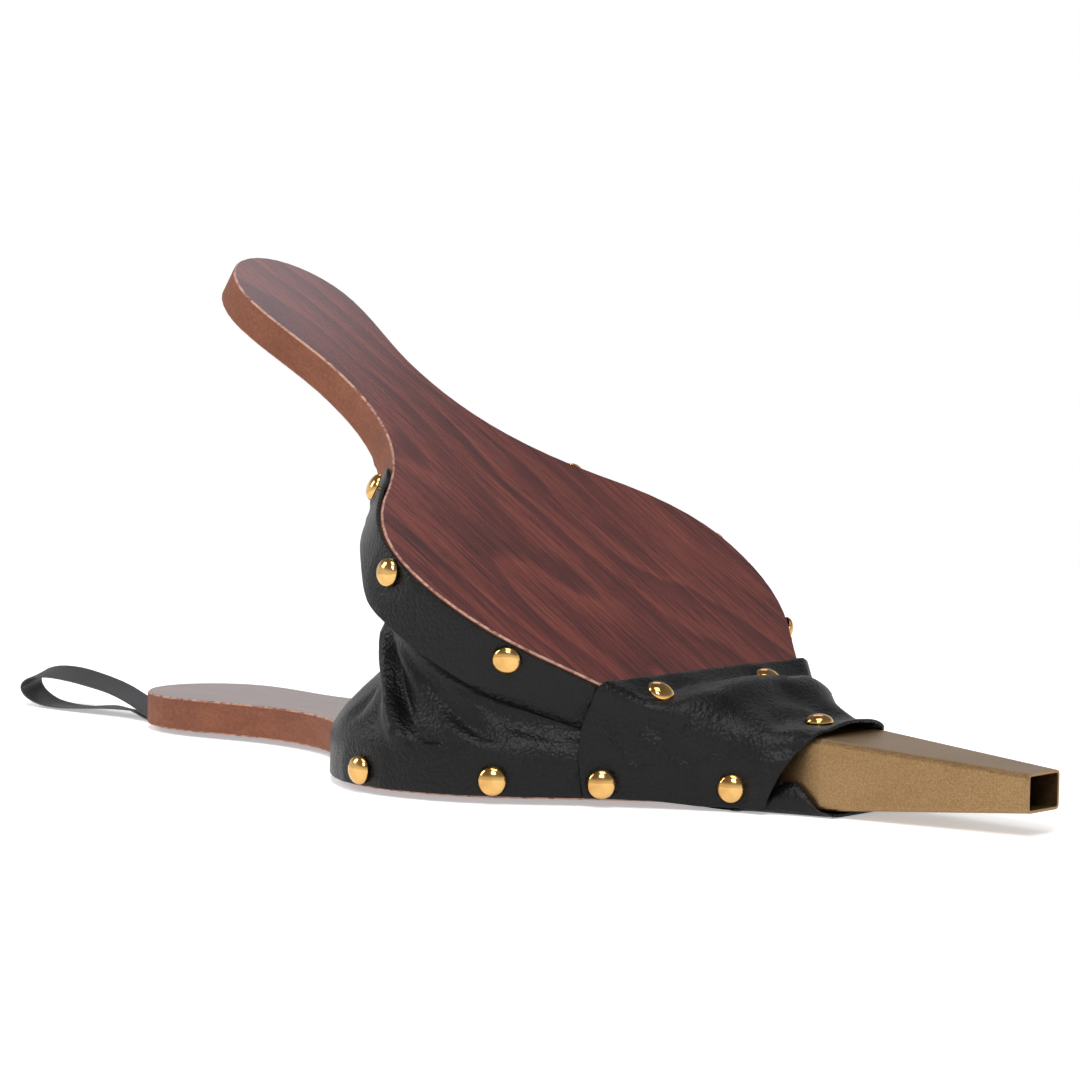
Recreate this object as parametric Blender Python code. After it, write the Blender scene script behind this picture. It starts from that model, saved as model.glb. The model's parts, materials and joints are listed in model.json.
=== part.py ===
"""Hand bellows for a hearth: two paddle boards hinged at the nose, a leather gusset
between them, a leather nose wrap, a tapered metal nozzle and a hanging strap.

Frame: +Z up, +X towards the nozzle's tip. The lower board lies level, and the origin
lies on the ground straight below the hinge line. Every length below is in millimetres;
new_object() turns points into metres. "Distance" d runs from the hinge line along a
board: positive towards the handle, negative towards the nozzle.
"""
import math

import bmesh
import bpy
from mathutils import Vector

MM = 0.001

# Boards
BOARD_THICKNESS = 12.0
BOARD_LIFT = 1.8            # underside of the lower board above the ground
OPEN_ANGLE = math.radians(32.6)
HANDLE_END = 278.0          # distance of the handle's end from the hinge line
HANDLE_CENTRE = 249.0       # where the handle is widest
# (distance, half width, slope) of the paddle, joined by cubic curves
OUTLINE = (
    (-40.0, 23.0, 0.0),
    (43.7, 67.4, 0.85),
    (92.0, 86.0, 0.0),
    (135.0, 59.6, -1.36),
    (206.0, 21.0, 0.0),
    (HANDLE_CENTRE, 26.7, 0.0),
)
SHOULDER = 18.0             # x where the board narrows to the tongue inside the nozzle
TONGUE_END = 40.0
TONGUE_HALF_WIDTH = 17.0
EDGE_BEVEL = 0.6
LOWER_TOP = BOARD_LIFT + BOARD_THICKNESS
HINGE_Z = LOWER_TOP + BOARD_THICKNESS

# Clearances and leather
GAP = 0.3                   # between neighbours that touch
LEATHER = 1.2

# Air passages
CHANNEL_WIDTH = 14.0
CHANNEL_HEIGHT = 6.0
INTAKE_X = -100.0
INTAKE_RADIUS = 12.5

# Nozzle: a hollow rectangular horn
NOZZLE_REAR = SHOULDER + 0.4
NOZZLE_TAPER_START = 40.0
NOZZLE_TIP = 114.7
NOZZLE_WALL = 0.9
NOZZLE_CORNER = 1.6
ROOT_HALF_WIDTH, ROOT_LOW, ROOT_HIGH = 18.4, BOARD_LIFT, BOARD_LIFT + 23.5
TIP_HALF_WIDTH, TIP_LOW, TIP_HIGH = 8.8, BOARD_LIFT + 6.1, BOARD_LIFT + 18.8

# Gusset: the leather skirt between the boards
GUSSET_FRONT = 10.0         # distance at which its two front edges start
GUSSET_BACK_LOWER = 132.0   # where it leaves the lower board's edge
GUSSET_BACK_UPPER = 154.0   # where it leaves the upper board's edge
GUSSET_FLANGE = 8.0         # the turned flap that lies on each handle
GUSSET_WAIST = 13.0         # how far the middle is drawn in at the back
CORNER_GAP = 1.5            # leather to board where it steps up onto a handle
BAND_MARGIN = 0.8           # leather edge to board face

# Nose wrap
WRAP_BACK_LOW, WRAP_BACK_TOP = -28.0, -22.0
WRAP_FRONT_LOW, WRAP_FRONT_TOP = 24.0, 38.0
WRAP_CLEARANCE = 0.9        # over the gusset's leather
WRAP_ON_WOOD = 0.6          # over bare wood and the nozzle
WRAP_ON_TOP = 0.45          # over the boards' top faces
WRAP_BULGE = 7.0            # the leather bridges the hinge in a soft ridge
WRAP_BULGE_REACH = 8.0

# Leather under the nose: half of its plan (x, y), and the lips up the nozzle's sides (x, z)
PAD_OUTLINE = (
    (-12.0, 22.0),
    (-8.0, 27.0),
    (0.0, 30.0),
    (14.0, 30.5),
    (26.0, 29.0),
    (36.0, 24.0),
    (46.0, 19.0),
)
LIP_PROFILE = ((21.0, 0.6), (30.0, 9.0), (37.0, 6.5), (44.0, 0.6))

# Dome nails: distances along the boards' edges
NAIL_HEAD_RADIUS = 4.9
NAIL_HEAD_HEIGHT = 3.2
NAIL_SHANK_RADIUS = 0.8
NAIL_SHANK_LENGTH = 11.0
NOSE_NAIL_SHANK = 6.8       # ends above the air channel
LOWER_NAILS = (("a", 98.5), ("b", 51.9), ("c", 23.9), ("d", -13.0))
UPPER_NAILS = (("a", 143.0), ("b", 99.5), ("c", 51.5))
WRAP_NAIL_DISTANCE = 15.5
WRAP_NAILS = (("right", -37.5), ("left", 21.0))
WRAP_NAIL_LIFT = 1.8        # over the ridge's flank
NECK_STANDOFF = 1.3         # the edge is hollow at the neck, so a flat head stands off it
CENTRE_NAIL_X = 26.0

# Other fasteners: (head radius, head height, shank radius, length)
NECK_TACK = (3.2, 0.9, 0.7, 9.0)
LOWER_TACK_Y, UPPER_TACK_Y = 16.0, 12.0
BLOCK_SCREW = (3.2, 2.2, 1.5, 20.0)
BLOCK_SCREW_X, BLOCK_SCREW_Y = 8.0, 15.0
NOZZLE_PIN = (1.7, 0.35, 0.6, 7.0)
NOZZLE_PIN_X, NOZZLE_PIN_DROP = 23.5, 4.8
SPRING_SCREW = (2.8, 1.3, 1.2, 9.0)
VALVE_TACK = (2.6, 0.9, 0.7, 8.0)
VALVE_TACK_Y = 10.0
STRAP_TACK = (2.8, 0.7, 0.8, 10.0)
HOLE_EXTRA = 0.5            # how much deeper a hole is than its nail

# Return spring: a hairpin of steel strip
SPRING_WIDTH = 16.0
SPRING_THICKNESS = 1.0
SPRING_BEND_RADIUS = 5.0
SPRING_REACH = 70.0
# Distances of the screws; those of one leg stand between those of the other
LOWER_SPRING_SCREWS = (("front", 46.0), ("rear", 66.0))
UPPER_SPRING_SCREWS = (("front", 36.5), ("rear", 56.0))

# Intake valve
VALVE_HINGE_X = -120.0
VALVE_LENGTH, VALVE_WIDTH, VALVE_THICKNESS = 37.0, 36.0, 1.8
VALVE_CORNER = 8.0
VALVE_TAB_LENGTH = 11.0

# Hanging strap
STRAP_WIDTH = 14.0
STRAP_THICKNESS = 0.6
STRAP_PIVOT_X = -HANDLE_END - 1.2
STRAP_PIVOT_Z = 0.75
STRAP_TAB_LENGTH = 20.0
STRAP_TAB_START = 1.0       # leaves room for the loop to swing
STRAP_TACK_REACH = 12.0
PAD_THICKNESS = BOARD_LIFT - 0.4    # of the leather and the strap under the boards
# (x beyond the pivot, height of the middle, roll in degrees, shift of the far edge in x)
STRAP_ROUTE = (
    (0.0, 0.35, 0.0, 0.0),
    (-5.0, 1.1, -3.0, 0.0),
    (-11.0, 2.1, -9.0, -1.0),
    (-19.0, 2.7, -14.0, -2.0),
    (-30.0, 2.1, -10.0, -3.0),
    (-42.0, 1.1, -4.0, -3.0),
    (-54.0, 0.6, -1.0, -3.0),
    (-64.0, 1.4, 2.0, -3.0),
    (-71.5, 4.2, 6.0, -3.0),
    (-74.0, 8.0, 8.0, -3.0),
    (-70.5, 11.4, 10.0, -3.5),
    (-62.0, 13.2, 13.0, -4.0),
    (-50.0, 13.2, 15.0, -4.0),
    (-36.0, 11.6, 13.0, -4.0),
    (-24.0, 9.4, 8.0, -3.0),
    (-13.0, 6.0, 3.0, -2.0),
    (-5.0, 2.8, 0.0, 0.0),
    (0.0, 1.15, 0.0, 0.0),
)

ROUND_SEGMENTS = 14
SCREW_SEGMENTS = 12
LAMINATE = ((0.085, 0.022, 0.016), 0.35, 0.0)
FIBREBOARD = ((0.23, 0.10, 0.055), 0.8, 0.0)
BLACK_LEATHER = ((0.012, 0.012, 0.013), 0.5, 0.0)
BRASS = ((0.83, 0.55, 0.16), 0.18, 1.0)
BRONZE_PAINT = ((0.36, 0.26, 0.12), 0.42, 0.75)
STEEL = ((0.45, 0.45, 0.46), 0.35, 1.0)
STRAP_GREY = ((0.05, 0.05, 0.055), 0.55, 0.0)
SUEDE = ((0.16, 0.10, 0.06), 0.9, 0.0)


# ---------------------------------------------------------------- helpers

def clear_scene():
    for obj in list(bpy.data.objects):
        bpy.data.objects.remove(obj, do_unlink=True)


def material(name, look):
    colour, roughness, metallic = look
    mat = bpy.data.materials.new(name)
    mat.use_nodes = True
    shader = mat.node_tree.nodes["Principled BSDF"]
    shader.inputs["Base Color"].default_value = (*colour, 1.0)
    shader.inputs["Roughness"].default_value = roughness
    shader.inputs["Metallic"].default_value = metallic
    return mat


def mesh_from(name, points, faces, look, smooth=False):
    """A mesh from millimetre points, with its faces turned outwards."""
    mesh = bpy.data.meshes.new(name)
    mesh.from_pydata([Vector(p) * MM for p in points], [], faces)
    work = bmesh.new()
    work.from_mesh(mesh)
    bmesh.ops.recalc_face_normals(work, faces=work.faces)
    work.to_mesh(mesh)
    work.free()
    if smooth:
        mesh.shade_smooth()
        mesh.set_sharp_from_angle(angle=math.radians(35.0))
    mesh.materials.append(material(name, look))
    return mesh


def place(name, mesh, at=(0.0, 0.0, 0.0), direction=None, parent=None):
    """Object at a millimetre point, its own +Z turned along a direction."""
    obj = bpy.data.objects.new(name, mesh)
    bpy.context.scene.collection.objects.link(obj)
    obj.location = Vector(at) * MM
    if direction is not None:
        obj.rotation_euler = Vector(direction).to_track_quat("Z", "X").to_euler()
    obj.parent = parent
    return obj


def new_object(name, points, faces, look, smooth=False, at=(0.0, 0.0, 0.0), parent=None):
    """Object whose points are given in its parent's frame and whose origin is `at`."""
    local = [Vector(p) - Vector(at) for p in points]
    return place(name, mesh_from(name, local, faces, look, smooth), at, None, parent)


def hide_cutter(obj):
    obj.hide_render = True
    obj.display_type = "WIRE"
    return obj


def cut(target, cutter):
    modifier = target.modifiers.new("cut_" + cutter.name, "BOOLEAN")
    modifier.operation = "DIFFERENCE"
    modifier.object = cutter


def bevel(target, width):
    modifier = target.modifiers.new("edge", "BEVEL")
    modifier.width = width * MM
    modifier.segments = 1
    modifier.limit_method = "ANGLE"
    modifier.angle_limit = math.radians(60.0)


def loft(rings, closed_ends=True):
    """Points and faces of a tube through rings that have the same number of points."""
    size = len(rings[0])
    points = [p for ring in rings for p in ring]
    faces = []
    for k in range(len(rings) - 1):
        for i in range(size):
            j = (i + 1) % size
            faces.append((k * size + i, k * size + j, (k + 1) * size + j, (k + 1) * size + i))
    if closed_ends:
        faces.append(tuple(range(size)))
        faces.append(tuple((len(rings) - 1) * size + i for i in range(size)))
    return points, faces


def sheet(inner, outer):
    """Closed thick sheet from two matching grids of points, inner and outer."""
    rows, columns = len(inner), len(inner[0])
    half = rows * columns
    points = [p for row in inner for p in row] + [p for row in outer for p in row]
    faces = []
    for r in range(rows - 1):
        for c in range(columns - 1):
            a = r * columns + c
            quad = (a, a + 1, a + columns + 1, a + columns)
            faces.append(quad)
            faces.append(tuple(half + i for i in reversed(quad)))
    border = [c for c in range(columns)]
    border += [r * columns + columns - 1 for r in range(1, rows)]
    border += [(rows - 1) * columns + c for c in range(columns - 2, -1, -1)]
    border += [r * columns for r in range(rows - 2, 0, -1)]
    for a, b in zip(border, border[1:] + border[:1]):
        faces.append((a, b, half + b, half + a))
    return points, faces


def turned(name, profile, look, segments=ROUND_SEGMENTS):
    """Mesh of a profile of (radius, height) turned about Z; it starts and ends on the axis."""
    points = [(0.0, 0.0, profile[0][1])]
    for radius, height in profile[1:-1]:
        for i in range(segments):
            angle = 2.0 * math.pi * i / segments
            points.append((radius * math.cos(angle), radius * math.sin(angle), height))
    points.append((0.0, 0.0, profile[-1][1]))
    last = len(points) - 1
    rings = len(profile) - 2
    faces = []
    for i in range(segments):
        j = (i + 1) % segments
        faces.append((0, 1 + i, 1 + j))
        for k in range(rings - 1):
            a = 1 + k * segments
            faces.append((a + i, a + segments + i, a + segments + j, a + j))
        a = 1 + (rings - 1) * segments
        faces.append((a + i, last, a + j))
    return mesh_from(name, points, faces, look, smooth=True)


def box(name, low, high, look=STEEL):
    (x0, y0, z0), (x1, y1, z1) = low, high
    return plate(name, [(x0, y0), (x1, y0), (x1, y1), (x0, y1)], z0, z1, look)


def plate(name, outline, z_low, z_high, look, at=(0.0, 0.0, 0.0), parent=None):
    """Flat plate with the given plan outline."""
    rings = [[(x, y, z) for x, y in outline] for z in (z_low, z_high)]
    points, faces = loft(rings)
    return new_object(name, points, faces, look, at=at, parent=parent)


# ---------------------------------------------------------------- the paddle's outline

def half_width(d):
    """Half width of a board at a distance from the hinge line, and its slope."""
    if d >= HANDLE_CENTRE:
        widest = OUTLINE[-1][1]
        t = min((d - HANDLE_CENTRE) / (HANDLE_END - HANDLE_CENTRE), 1.0)
        return widest * math.sqrt(max(0.0, 1.0 - t * t)), 0.0
    d = max(d, OUTLINE[0][0])
    for (d0, w0, s0), (d1, w1, s1) in zip(OUTLINE, OUTLINE[1:]):
        if d <= d1:
            h = d1 - d0
            t = (d - d0) / h
            width = (
                w0 * (2 * t**3 - 3 * t**2 + 1)
                + w1 * (3 * t**2 - 2 * t**3)
                + h * s0 * (t**3 - 2 * t**2 + t)
                + h * s1 * (t**3 - t**2)
            )
            slope = (
                (w1 - w0) * (6 * t - 6 * t**2) / h
                + s0 * (3 * t**2 - 4 * t + 1)
                + s1 * (3 * t**2 - 2 * t)
            )
            return width, slope
    return OUTLINE[-1][1], 0.0


def edge(d, side, offset=0.0):
    """Point beside the board's edge at distance d, and the outward direction there."""
    width, slope = half_width(d)
    length = math.hypot(slope, 1.0)
    normal = Vector((slope / length, side / length))
    point = Vector((-d, side * width)) + normal * offset
    return point, normal


def paddle_outline(front, step=6.5):
    """Plan outline of a board from its straight front edge to the handle's end."""
    count = round((HANDLE_CENTRE - front) / step)
    near = [front + (HANDLE_CENTRE - front) * i / count for i in range(count + 1)]
    turns = 9
    for i in range(1, turns):
        angle = math.pi / 2 * i / turns
        near.append(HANDLE_CENTRE + (HANDLE_END - HANDLE_CENTRE) * math.sin(angle))
    outline = [(-d, -half_width(d)[0]) for d in near]
    outline.append((-HANDLE_END, 0.0))
    outline += [(-d, half_width(d)[0]) for d in reversed(near)]
    return outline


def tilt(point):
    """From the upper board's own frame (origin on the hinge line) to the ground frame."""
    x, y, z = point
    c, s = math.cos(OPEN_ANGLE), math.sin(OPEN_ANGLE)
    return Vector((x * c + z * s, y, HINGE_Z - x * s + z * c))


# ---------------------------------------------------------------- wood

def make_lower_board():
    board = plate("lower_board", paddle_outline(-SHOULDER), BOARD_LIFT, LOWER_TOP, LAMINATE)
    bevel(board, EDGE_BEVEL)
    return board


def make_tongue():
    """Cross piece under the block that carries the nozzle; one with the lower board."""
    return box("tongue", (SHOULDER - 6.0, -TONGUE_HALF_WIDTH, BOARD_LIFT + 1.2),
               (TONGUE_END, TONGUE_HALF_WIDTH, LOWER_TOP - 0.8), FIBREBOARD)


def join(target, addition):
    modifier = target.modifiers.new("join_" + addition.name, "BOOLEAN")
    modifier.operation = "UNION"
    modifier.object = addition
    hide_cutter(addition)


def make_upper_board(pivot):
    outline = paddle_outline(GAP + 0.1)
    board = plate("upper_board", outline, -BOARD_THICKNESS, 0.0, LAMINATE, parent=pivot)
    bevel(board, EDGE_BEVEL)
    return board


def make_nose_block():
    """Second layer of board in front of the hinge, with the air channel in its underside."""
    low, high = LOWER_TOP + GAP, HINGE_Z
    rear = 0.4
    steps = 4
    distances = [-rear - (SHOULDER - rear) * i / steps for i in range(steps + 1)]
    shoulder = [(-d, -half_width(d)[0]) for d in distances]
    outline = shoulder + [(x, -y) for x, y in reversed(shoulder)]
    block = plate("nose_block", outline, low, high, LAMINATE)
    bevel(block, 0.3)
    tongue = box("block_tongue", (SHOULDER - 6.0, -TONGUE_HALF_WIDTH, low + 0.4),
                 (TONGUE_END, TONGUE_HALF_WIDTH, high - 1.7), FIBREBOARD)
    join(block, tongue)
    channel = box("air_channel", (-5.0, -CHANNEL_WIDTH / 2, low - 5.0),
                  (TONGUE_END + 5.0, CHANNEL_WIDTH / 2, low + CHANNEL_HEIGHT))
    cut(block, hide_cutter(channel))
    return block


# ---------------------------------------------------------------- nozzle

def rounded_ring(x, half, low, high, corner):
    """Rounded rectangle across the X axis."""
    ring = []
    centres = ((half, high, 0), (-half, high, 1), (-half, low, 2), (half, low, 3))
    for y, z, quarter in centres:
        cy = y - math.copysign(corner, y)
        cz = z - corner if z == high else z + corner
        for i in range(4):
            angle = math.pi / 2 * (quarter + i / 3)
            ring.append((x, cy + corner * math.cos(angle), cz + corner * math.sin(angle)))
    return ring


def make_nozzle():
    outer = (
        (NOZZLE_REAR, ROOT_HALF_WIDTH, ROOT_LOW, ROOT_HIGH),
        (NOZZLE_TAPER_START, ROOT_HALF_WIDTH, ROOT_LOW, ROOT_HIGH),
        (NOZZLE_TIP, TIP_HALF_WIDTH, TIP_LOW, TIP_HIGH),
    )
    rings = [rounded_ring(x, h, lo, hi, NOZZLE_CORNER) for x, h, lo, hi in outer]
    wall = NOZZLE_WALL
    rings += [
        rounded_ring(x, h - wall, lo + wall, hi - wall, NOZZLE_CORNER - wall)
        for x, h, lo, hi in reversed(outer)
    ]
    points, faces = loft(rings + rings[:1], closed_ends=False)
    size = len(rings[0])
    last = len(rings) * size
    faces = [tuple(i - last if i >= last else i for i in face) for face in faces]
    return new_object("nozzle", points[:last], faces, BRONZE_PAINT, smooth=True)


# ---------------------------------------------------------------- leather

def skin_gap(d):
    """Gap between the edge and the leather: wider at the neck, where straight leather
    spans the hollow of the outline."""
    return GAP + 0.1 + 0.3 * smooth_step(125.0, 145.0, d)


def side_column(side, t):
    """Inner points and outward directions of the gusset at one station of a board's side."""
    low_d = GUSSET_FRONT + (GUSSET_BACK_LOWER - GUSSET_FRONT) * t
    high_d = GUSSET_FRONT + (GUSSET_BACK_UPPER - GUSSET_FRONT) * t
    low, low_out = edge(low_d, side, skin_gap(low_d))
    high, high_out = edge(high_d, side, skin_gap(high_d))
    rows = [(Vector((*low, BOARD_LIFT + BAND_MARGIN)), Vector((*low_out, 0.0)))]
    rows.append((Vector((*low, LOWER_TOP + 0.7)), Vector((*low_out, 0.0))))
    top_out = tilt((*high_out, 0.0)) - tilt((0.0, 0.0, 0.0))
    underside = tilt((*high, -BOARD_THICKNESS - 0.7))
    rows.append((underside, top_out))
    rows.append((tilt((*high, -BAND_MARGIN)), top_out))
    return rows


def corner_column(side):
    """The gusset just outside the board's edge, stepping up from the edge to its face."""
    low, low_out = edge(GUSSET_BACK_LOWER + 7.0, side, CORNER_GAP)
    high, high_out = edge(GUSSET_BACK_UPPER + 7.0, side, CORNER_GAP)
    tip_low, _ = edge(GUSSET_BACK_LOWER + 10.0, side, CORNER_GAP)
    tip_high, _ = edge(GUSSET_BACK_UPPER + 10.0, side, CORNER_GAP)
    out = Vector((*low_out, 0.6)).normalized()
    top_out = (tilt((*high_out, -0.6)) - tilt((0.0, 0.0, 0.0))).normalized()
    return [
        (Vector((*tip_low, LOWER_TOP + 0.5)), out),
        (Vector((*low, LOWER_TOP + 0.9)), out),
        (tilt((*high, -BOARD_THICKNESS - 0.9)), top_out),
        (tilt((*tip_high, -BOARD_THICKNESS - 0.5)), top_out),
    ]


def back_column(fraction):
    """The gusset where it crosses both handles; fraction runs from -1 to 1 across them."""
    low_d, high_d = GUSSET_BACK_LOWER + 9.0, GUSSET_BACK_UPPER + 9.0
    low_y = fraction * half_width(low_d)[0]
    high_y = fraction * half_width(high_d)[0]
    up, back = Vector((0.0, 0.0, 1.0)), Vector((-1.0, 0.0, 0.0))
    origin = tilt((0.0, 0.0, 0.0))
    down_tilted = tilt((0.0, 0.0, -1.0)) - origin
    back_tilted = tilt((-1.0, 0.0, 0.0)) - origin
    return [
        (Vector((-low_d - GUSSET_FLANGE, low_y, LOWER_TOP + GAP)), up),
        (Vector((-low_d, low_y, LOWER_TOP + GAP)), up + back),
        (tilt((-high_d, high_y, -BOARD_THICKNESS - GAP)), down_tilted + back_tilted),
        (tilt((-high_d - GUSSET_FLANGE, high_y, -BOARD_THICKNESS - GAP)), down_tilted),
    ]


def fill_column(rows, levels=5):
    """Adds the drawn-in wall between the lower and the upper band."""
    (low, low_out), (high, high_out) = rows[1], rows[2]
    height = (high - low).length
    pull = GUSSET_WAIST * min(1.0, height / 75.0) ** 2
    wall = []
    for k in range(1, levels):
        v = k / levels
        out = low_out.lerp(high_out, v)
        out.z = 0.0
        out.normalize()
        wall.append((low.lerp(high, v) - out * pull * math.sin(math.pi * v), out))
    return rows[:2] + wall + rows[2:]


def make_gusset():
    steps = 21
    near = [side_column(-1.0, i / steps) for i in range(steps + 1)]
    far = [side_column(1.0, i / steps) for i in range(steps, -1, -1)]
    crossing = [back_column(f) for f in (-0.8, -0.5, -0.25, 0.0, 0.25, 0.5, 0.8)]
    columns = near + [corner_column(-1.0)] + crossing + [corner_column(1.0)] + far
    columns = [fill_column(column) for column in columns]
    inner = [[point for point, _ in column] for column in columns]
    outer = [[point + out * LEATHER for point, out in column] for column in columns]
    points, faces = sheet(inner, outer)
    return new_object("gusset", points, faces, BLACK_LEATHER, smooth=True)


def smooth_step(low, high, x):
    t = min(1.0, max(0.0, (x - low) / (high - low)))
    return t * t * (3.0 - 2.0 * t)


def wrap_half_width(x, z):
    """Inner half width of the nose wrap: it clears the gusset, the boards and the nozzle."""
    along = -x * math.cos(OPEN_ANGLE) + (z - HINGE_Z) * math.sin(OPEN_ANGLE)
    widest = max(half_width(-x)[0], half_width(along)[0] if x < 0.0 else 0.0)
    over_gusset = GAP + LEATHER + WRAP_CLEARANCE
    clearance = over_gusset + (WRAP_ON_WOOD - over_gusset) * smooth_step(-7.0, 2.0, x)
    at_nozzle = ROOT_HALF_WIDTH + WRAP_ON_WOOD
    blend = smooth_step(SHOULDER + 1.0, SHOULDER + 13.0, x)
    return (widest + clearance) * (1.0 - blend) + at_nozzle * blend


def wrap_top(x):
    """Inner height of the nose wrap over the upper board, the hinge and the block."""
    lean = 1.0 / math.cos(OPEN_ANGLE) if x < 0.0 else 1.0
    return HINGE_Z + max(0.0, -x) * math.tan(OPEN_ANGLE) + WRAP_ON_TOP * lean


def wrap_profile():
    """(height share of the skirt, share across the top) from a skirt's edge to the middle."""
    skirt = [(v, 0.0) for v in (0.0, 0.3, 0.6, 0.85)]
    top = [(1.0, w) for w in (0.0, 0.25, 0.5, 0.75, 1.0)]
    return skirt + top


def wrap_point(side, climb, across, s):
    """Inner and outer point of the wrap at share s from its back edge to its front edge."""
    x_back = WRAP_BACK_LOW + (WRAP_BACK_TOP - WRAP_BACK_LOW) * climb
    x_front = WRAP_FRONT_LOW + (WRAP_FRONT_TOP - WRAP_FRONT_LOW) * climb
    x = x_back + (x_front - x_back) * s
    top = wrap_top(x)
    bottom = BOARD_LIFT + BAND_MARGIN
    z = bottom + (top - bottom) * climb
    half = wrap_half_width(x, z)
    lean = 1.0 / math.cos(OPEN_ANGLE) if x < 0.0 else 1.0
    ridge = WRAP_BULGE * math.exp(-((x / WRAP_BULGE_REACH) ** 2)) * math.sin(math.pi / 2 * across)
    if climb < 1.0:
        inner = Vector((x, side * half, z))
        return inner, inner + Vector((0.0, side * LEATHER, 0.0))
    inner = Vector((x, side * half * (1.0 - across), top + ridge))
    if across == 0.0:
        return inner, inner + Vector((0.0, side * LEATHER * 0.75, LEATHER * 0.75 * lean))
    return inner, inner + Vector((0.0, 0.0, LEATHER * lean))


def make_nose_wrap():
    profile = wrap_profile()
    half = [(-1.0, climb, across) for climb, across in profile]
    full = half + [(1.0, climb, across) for climb, across in reversed(profile[:-1])]
    stations = 17
    inner, outer = [], []
    for i in range(stations):
        s = i / (stations - 1)
        pairs = [wrap_point(side, climb, across, s) for side, climb, across in full]
        inner.append([pair[0] for pair in pairs])
        outer.append([pair[1] for pair in pairs])
    points, faces = sheet(inner, outer)
    return new_object("nose_wrap", points, faces, BLACK_LEATHER, smooth=True)


def make_under_wrap():
    """Leather under the nose, which the bellows stand on, with a lip up each nozzle side."""
    outline = [(x, -y) for x, y in PAD_OUTLINE] + [(x, y) for x, y in reversed(PAD_OUTLINE)]
    pad = plate("under_wrap", outline, 0.0, PAD_THICKNESS, BLACK_LEATHER)
    inside = ROOT_HALF_WIDTH + GAP
    for name, side in (("lip_right", -1.0), ("lip_left", 1.0)):
        faces_y = (side * inside, side * (inside + LEATHER))
        rings = [[(x, y, z) for x, z in LIP_PROFILE] for y in faces_y]
        points, faces = loft(rings)
        join(pad, new_object(name, points, faces, BLACK_LEATHER))
    return pad


# ---------------------------------------------------------------- nails, screws and tacks

def dome_nail_mesh(name, shank_length):
    height = NAIL_HEAD_HEIGHT
    profile = [(0.0, height)]
    for i in range(1, 5):
        angle = math.pi / 2 * i / 4.0
        profile.append((NAIL_HEAD_RADIUS * math.sin(angle), 0.3 + (height - 0.3) * math.cos(angle)))
    profile.append((NAIL_HEAD_RADIUS - 0.3, 0.0))
    profile.append((NAIL_SHANK_RADIUS, 0.0))
    profile.append((NAIL_SHANK_RADIUS, -shank_length + 3.0))
    profile.append((0.0, -shank_length))
    return turned(name, profile, BRASS)


def screw_mesh(name, size):
    """Low round head on a plain shank."""
    head_radius, head_height, shank_radius, length = size
    profile = (
        (0.0, head_height),
        (head_radius * 0.6, head_height * 0.9),
        (head_radius, head_height * 0.3),
        (head_radius, 0.0),
        (shank_radius, 0.0),
        (shank_radius, -length + 1.5),
        (0.0, -length),
    )
    return turned(name, profile, STEEL, SCREW_SEGMENTS)


def flush_screw_mesh(name, size):
    """Countersunk screw or tack whose head ends level with its origin."""
    head_radius, head_height, shank_radius, length = size
    profile = (
        (0.0, 0.0),
        (head_radius, 0.0),
        (head_radius, -0.25),
        (shank_radius, -head_height),
        (shank_radius, -length + 1.0),
        (0.0, -length),
    )
    return turned(name, profile, STEEL, SCREW_SEGMENTS)


def sink_mesh(name, size):
    """The hole for a countersunk screw: its shape grown by the gap, open above its head."""
    head_radius, head_height, shank_radius, length = size
    profile = (
        (0.0, GAP * 4.0),
        (head_radius + GAP, GAP * 4.0),
        (head_radius + GAP, -GAP / 2),
        (shank_radius + GAP, -head_height - GAP / 2),
        (shank_radius + GAP, -length + 1.0),
        (0.0, -length - GAP),
    )
    return turned(name, profile, STEEL, SCREW_SEGMENTS)


def hole_cutter(name, places, radius, depth, parent=None):
    """One cutter made of a round pin for each (point, outward direction)."""
    points, faces = [], []
    sides = 10
    for at, direction in places:
        turn = Vector(direction).to_track_quat("Z", "X").to_matrix()
        base = len(points)
        for height in (6.0, -depth):
            for i in range(sides):
                angle = 2.0 * math.pi * (i + 0.5) / sides
                pin = Vector((radius * math.cos(angle), radius * math.sin(angle), height))
                points.append(Vector(at) + turn @ pin)
        faces.append(tuple(base + i for i in range(sides)))
        faces.append(tuple(base + sides + i for i in range(sides)))
        for i in range(sides):
            j = (i + 1) % sides
            faces.append((base + i, base + j, base + sides + j, base + sides + i))
    return hide_cutter(new_object(name, points, faces, STEEL, parent=parent))


def lower_nail_places():
    """Name, foot of the head and outward direction of each nail in the lower board's edge."""
    skin = GAP + LEATHER
    layers = {
        "a": skin + GAP,
        "b": skin + GAP,
        "c": skin + WRAP_CLEARANCE + LEATHER + GAP,
        "d": WRAP_ON_WOOD + LEATHER + GAP,
    }
    places = []
    for letter, d in LOWER_NAILS:
        for hand, side in (("right", -1.0), ("left", 1.0)):
            point, out = edge(d, side, layers[letter])
            at = (*point, BOARD_LIFT + BOARD_THICKNESS / 2)
            places.append((f"lower_nail_{hand}_{letter}", at, (*out, 0.0)))
    return places


def nose_nail_place():
    height = wrap_top(CENTRE_NAIL_X) + LEATHER + GAP
    return "nose_nail", (CENTRE_NAIL_X, 0.0, height), (0.0, 0.0, 1.0)


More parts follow.
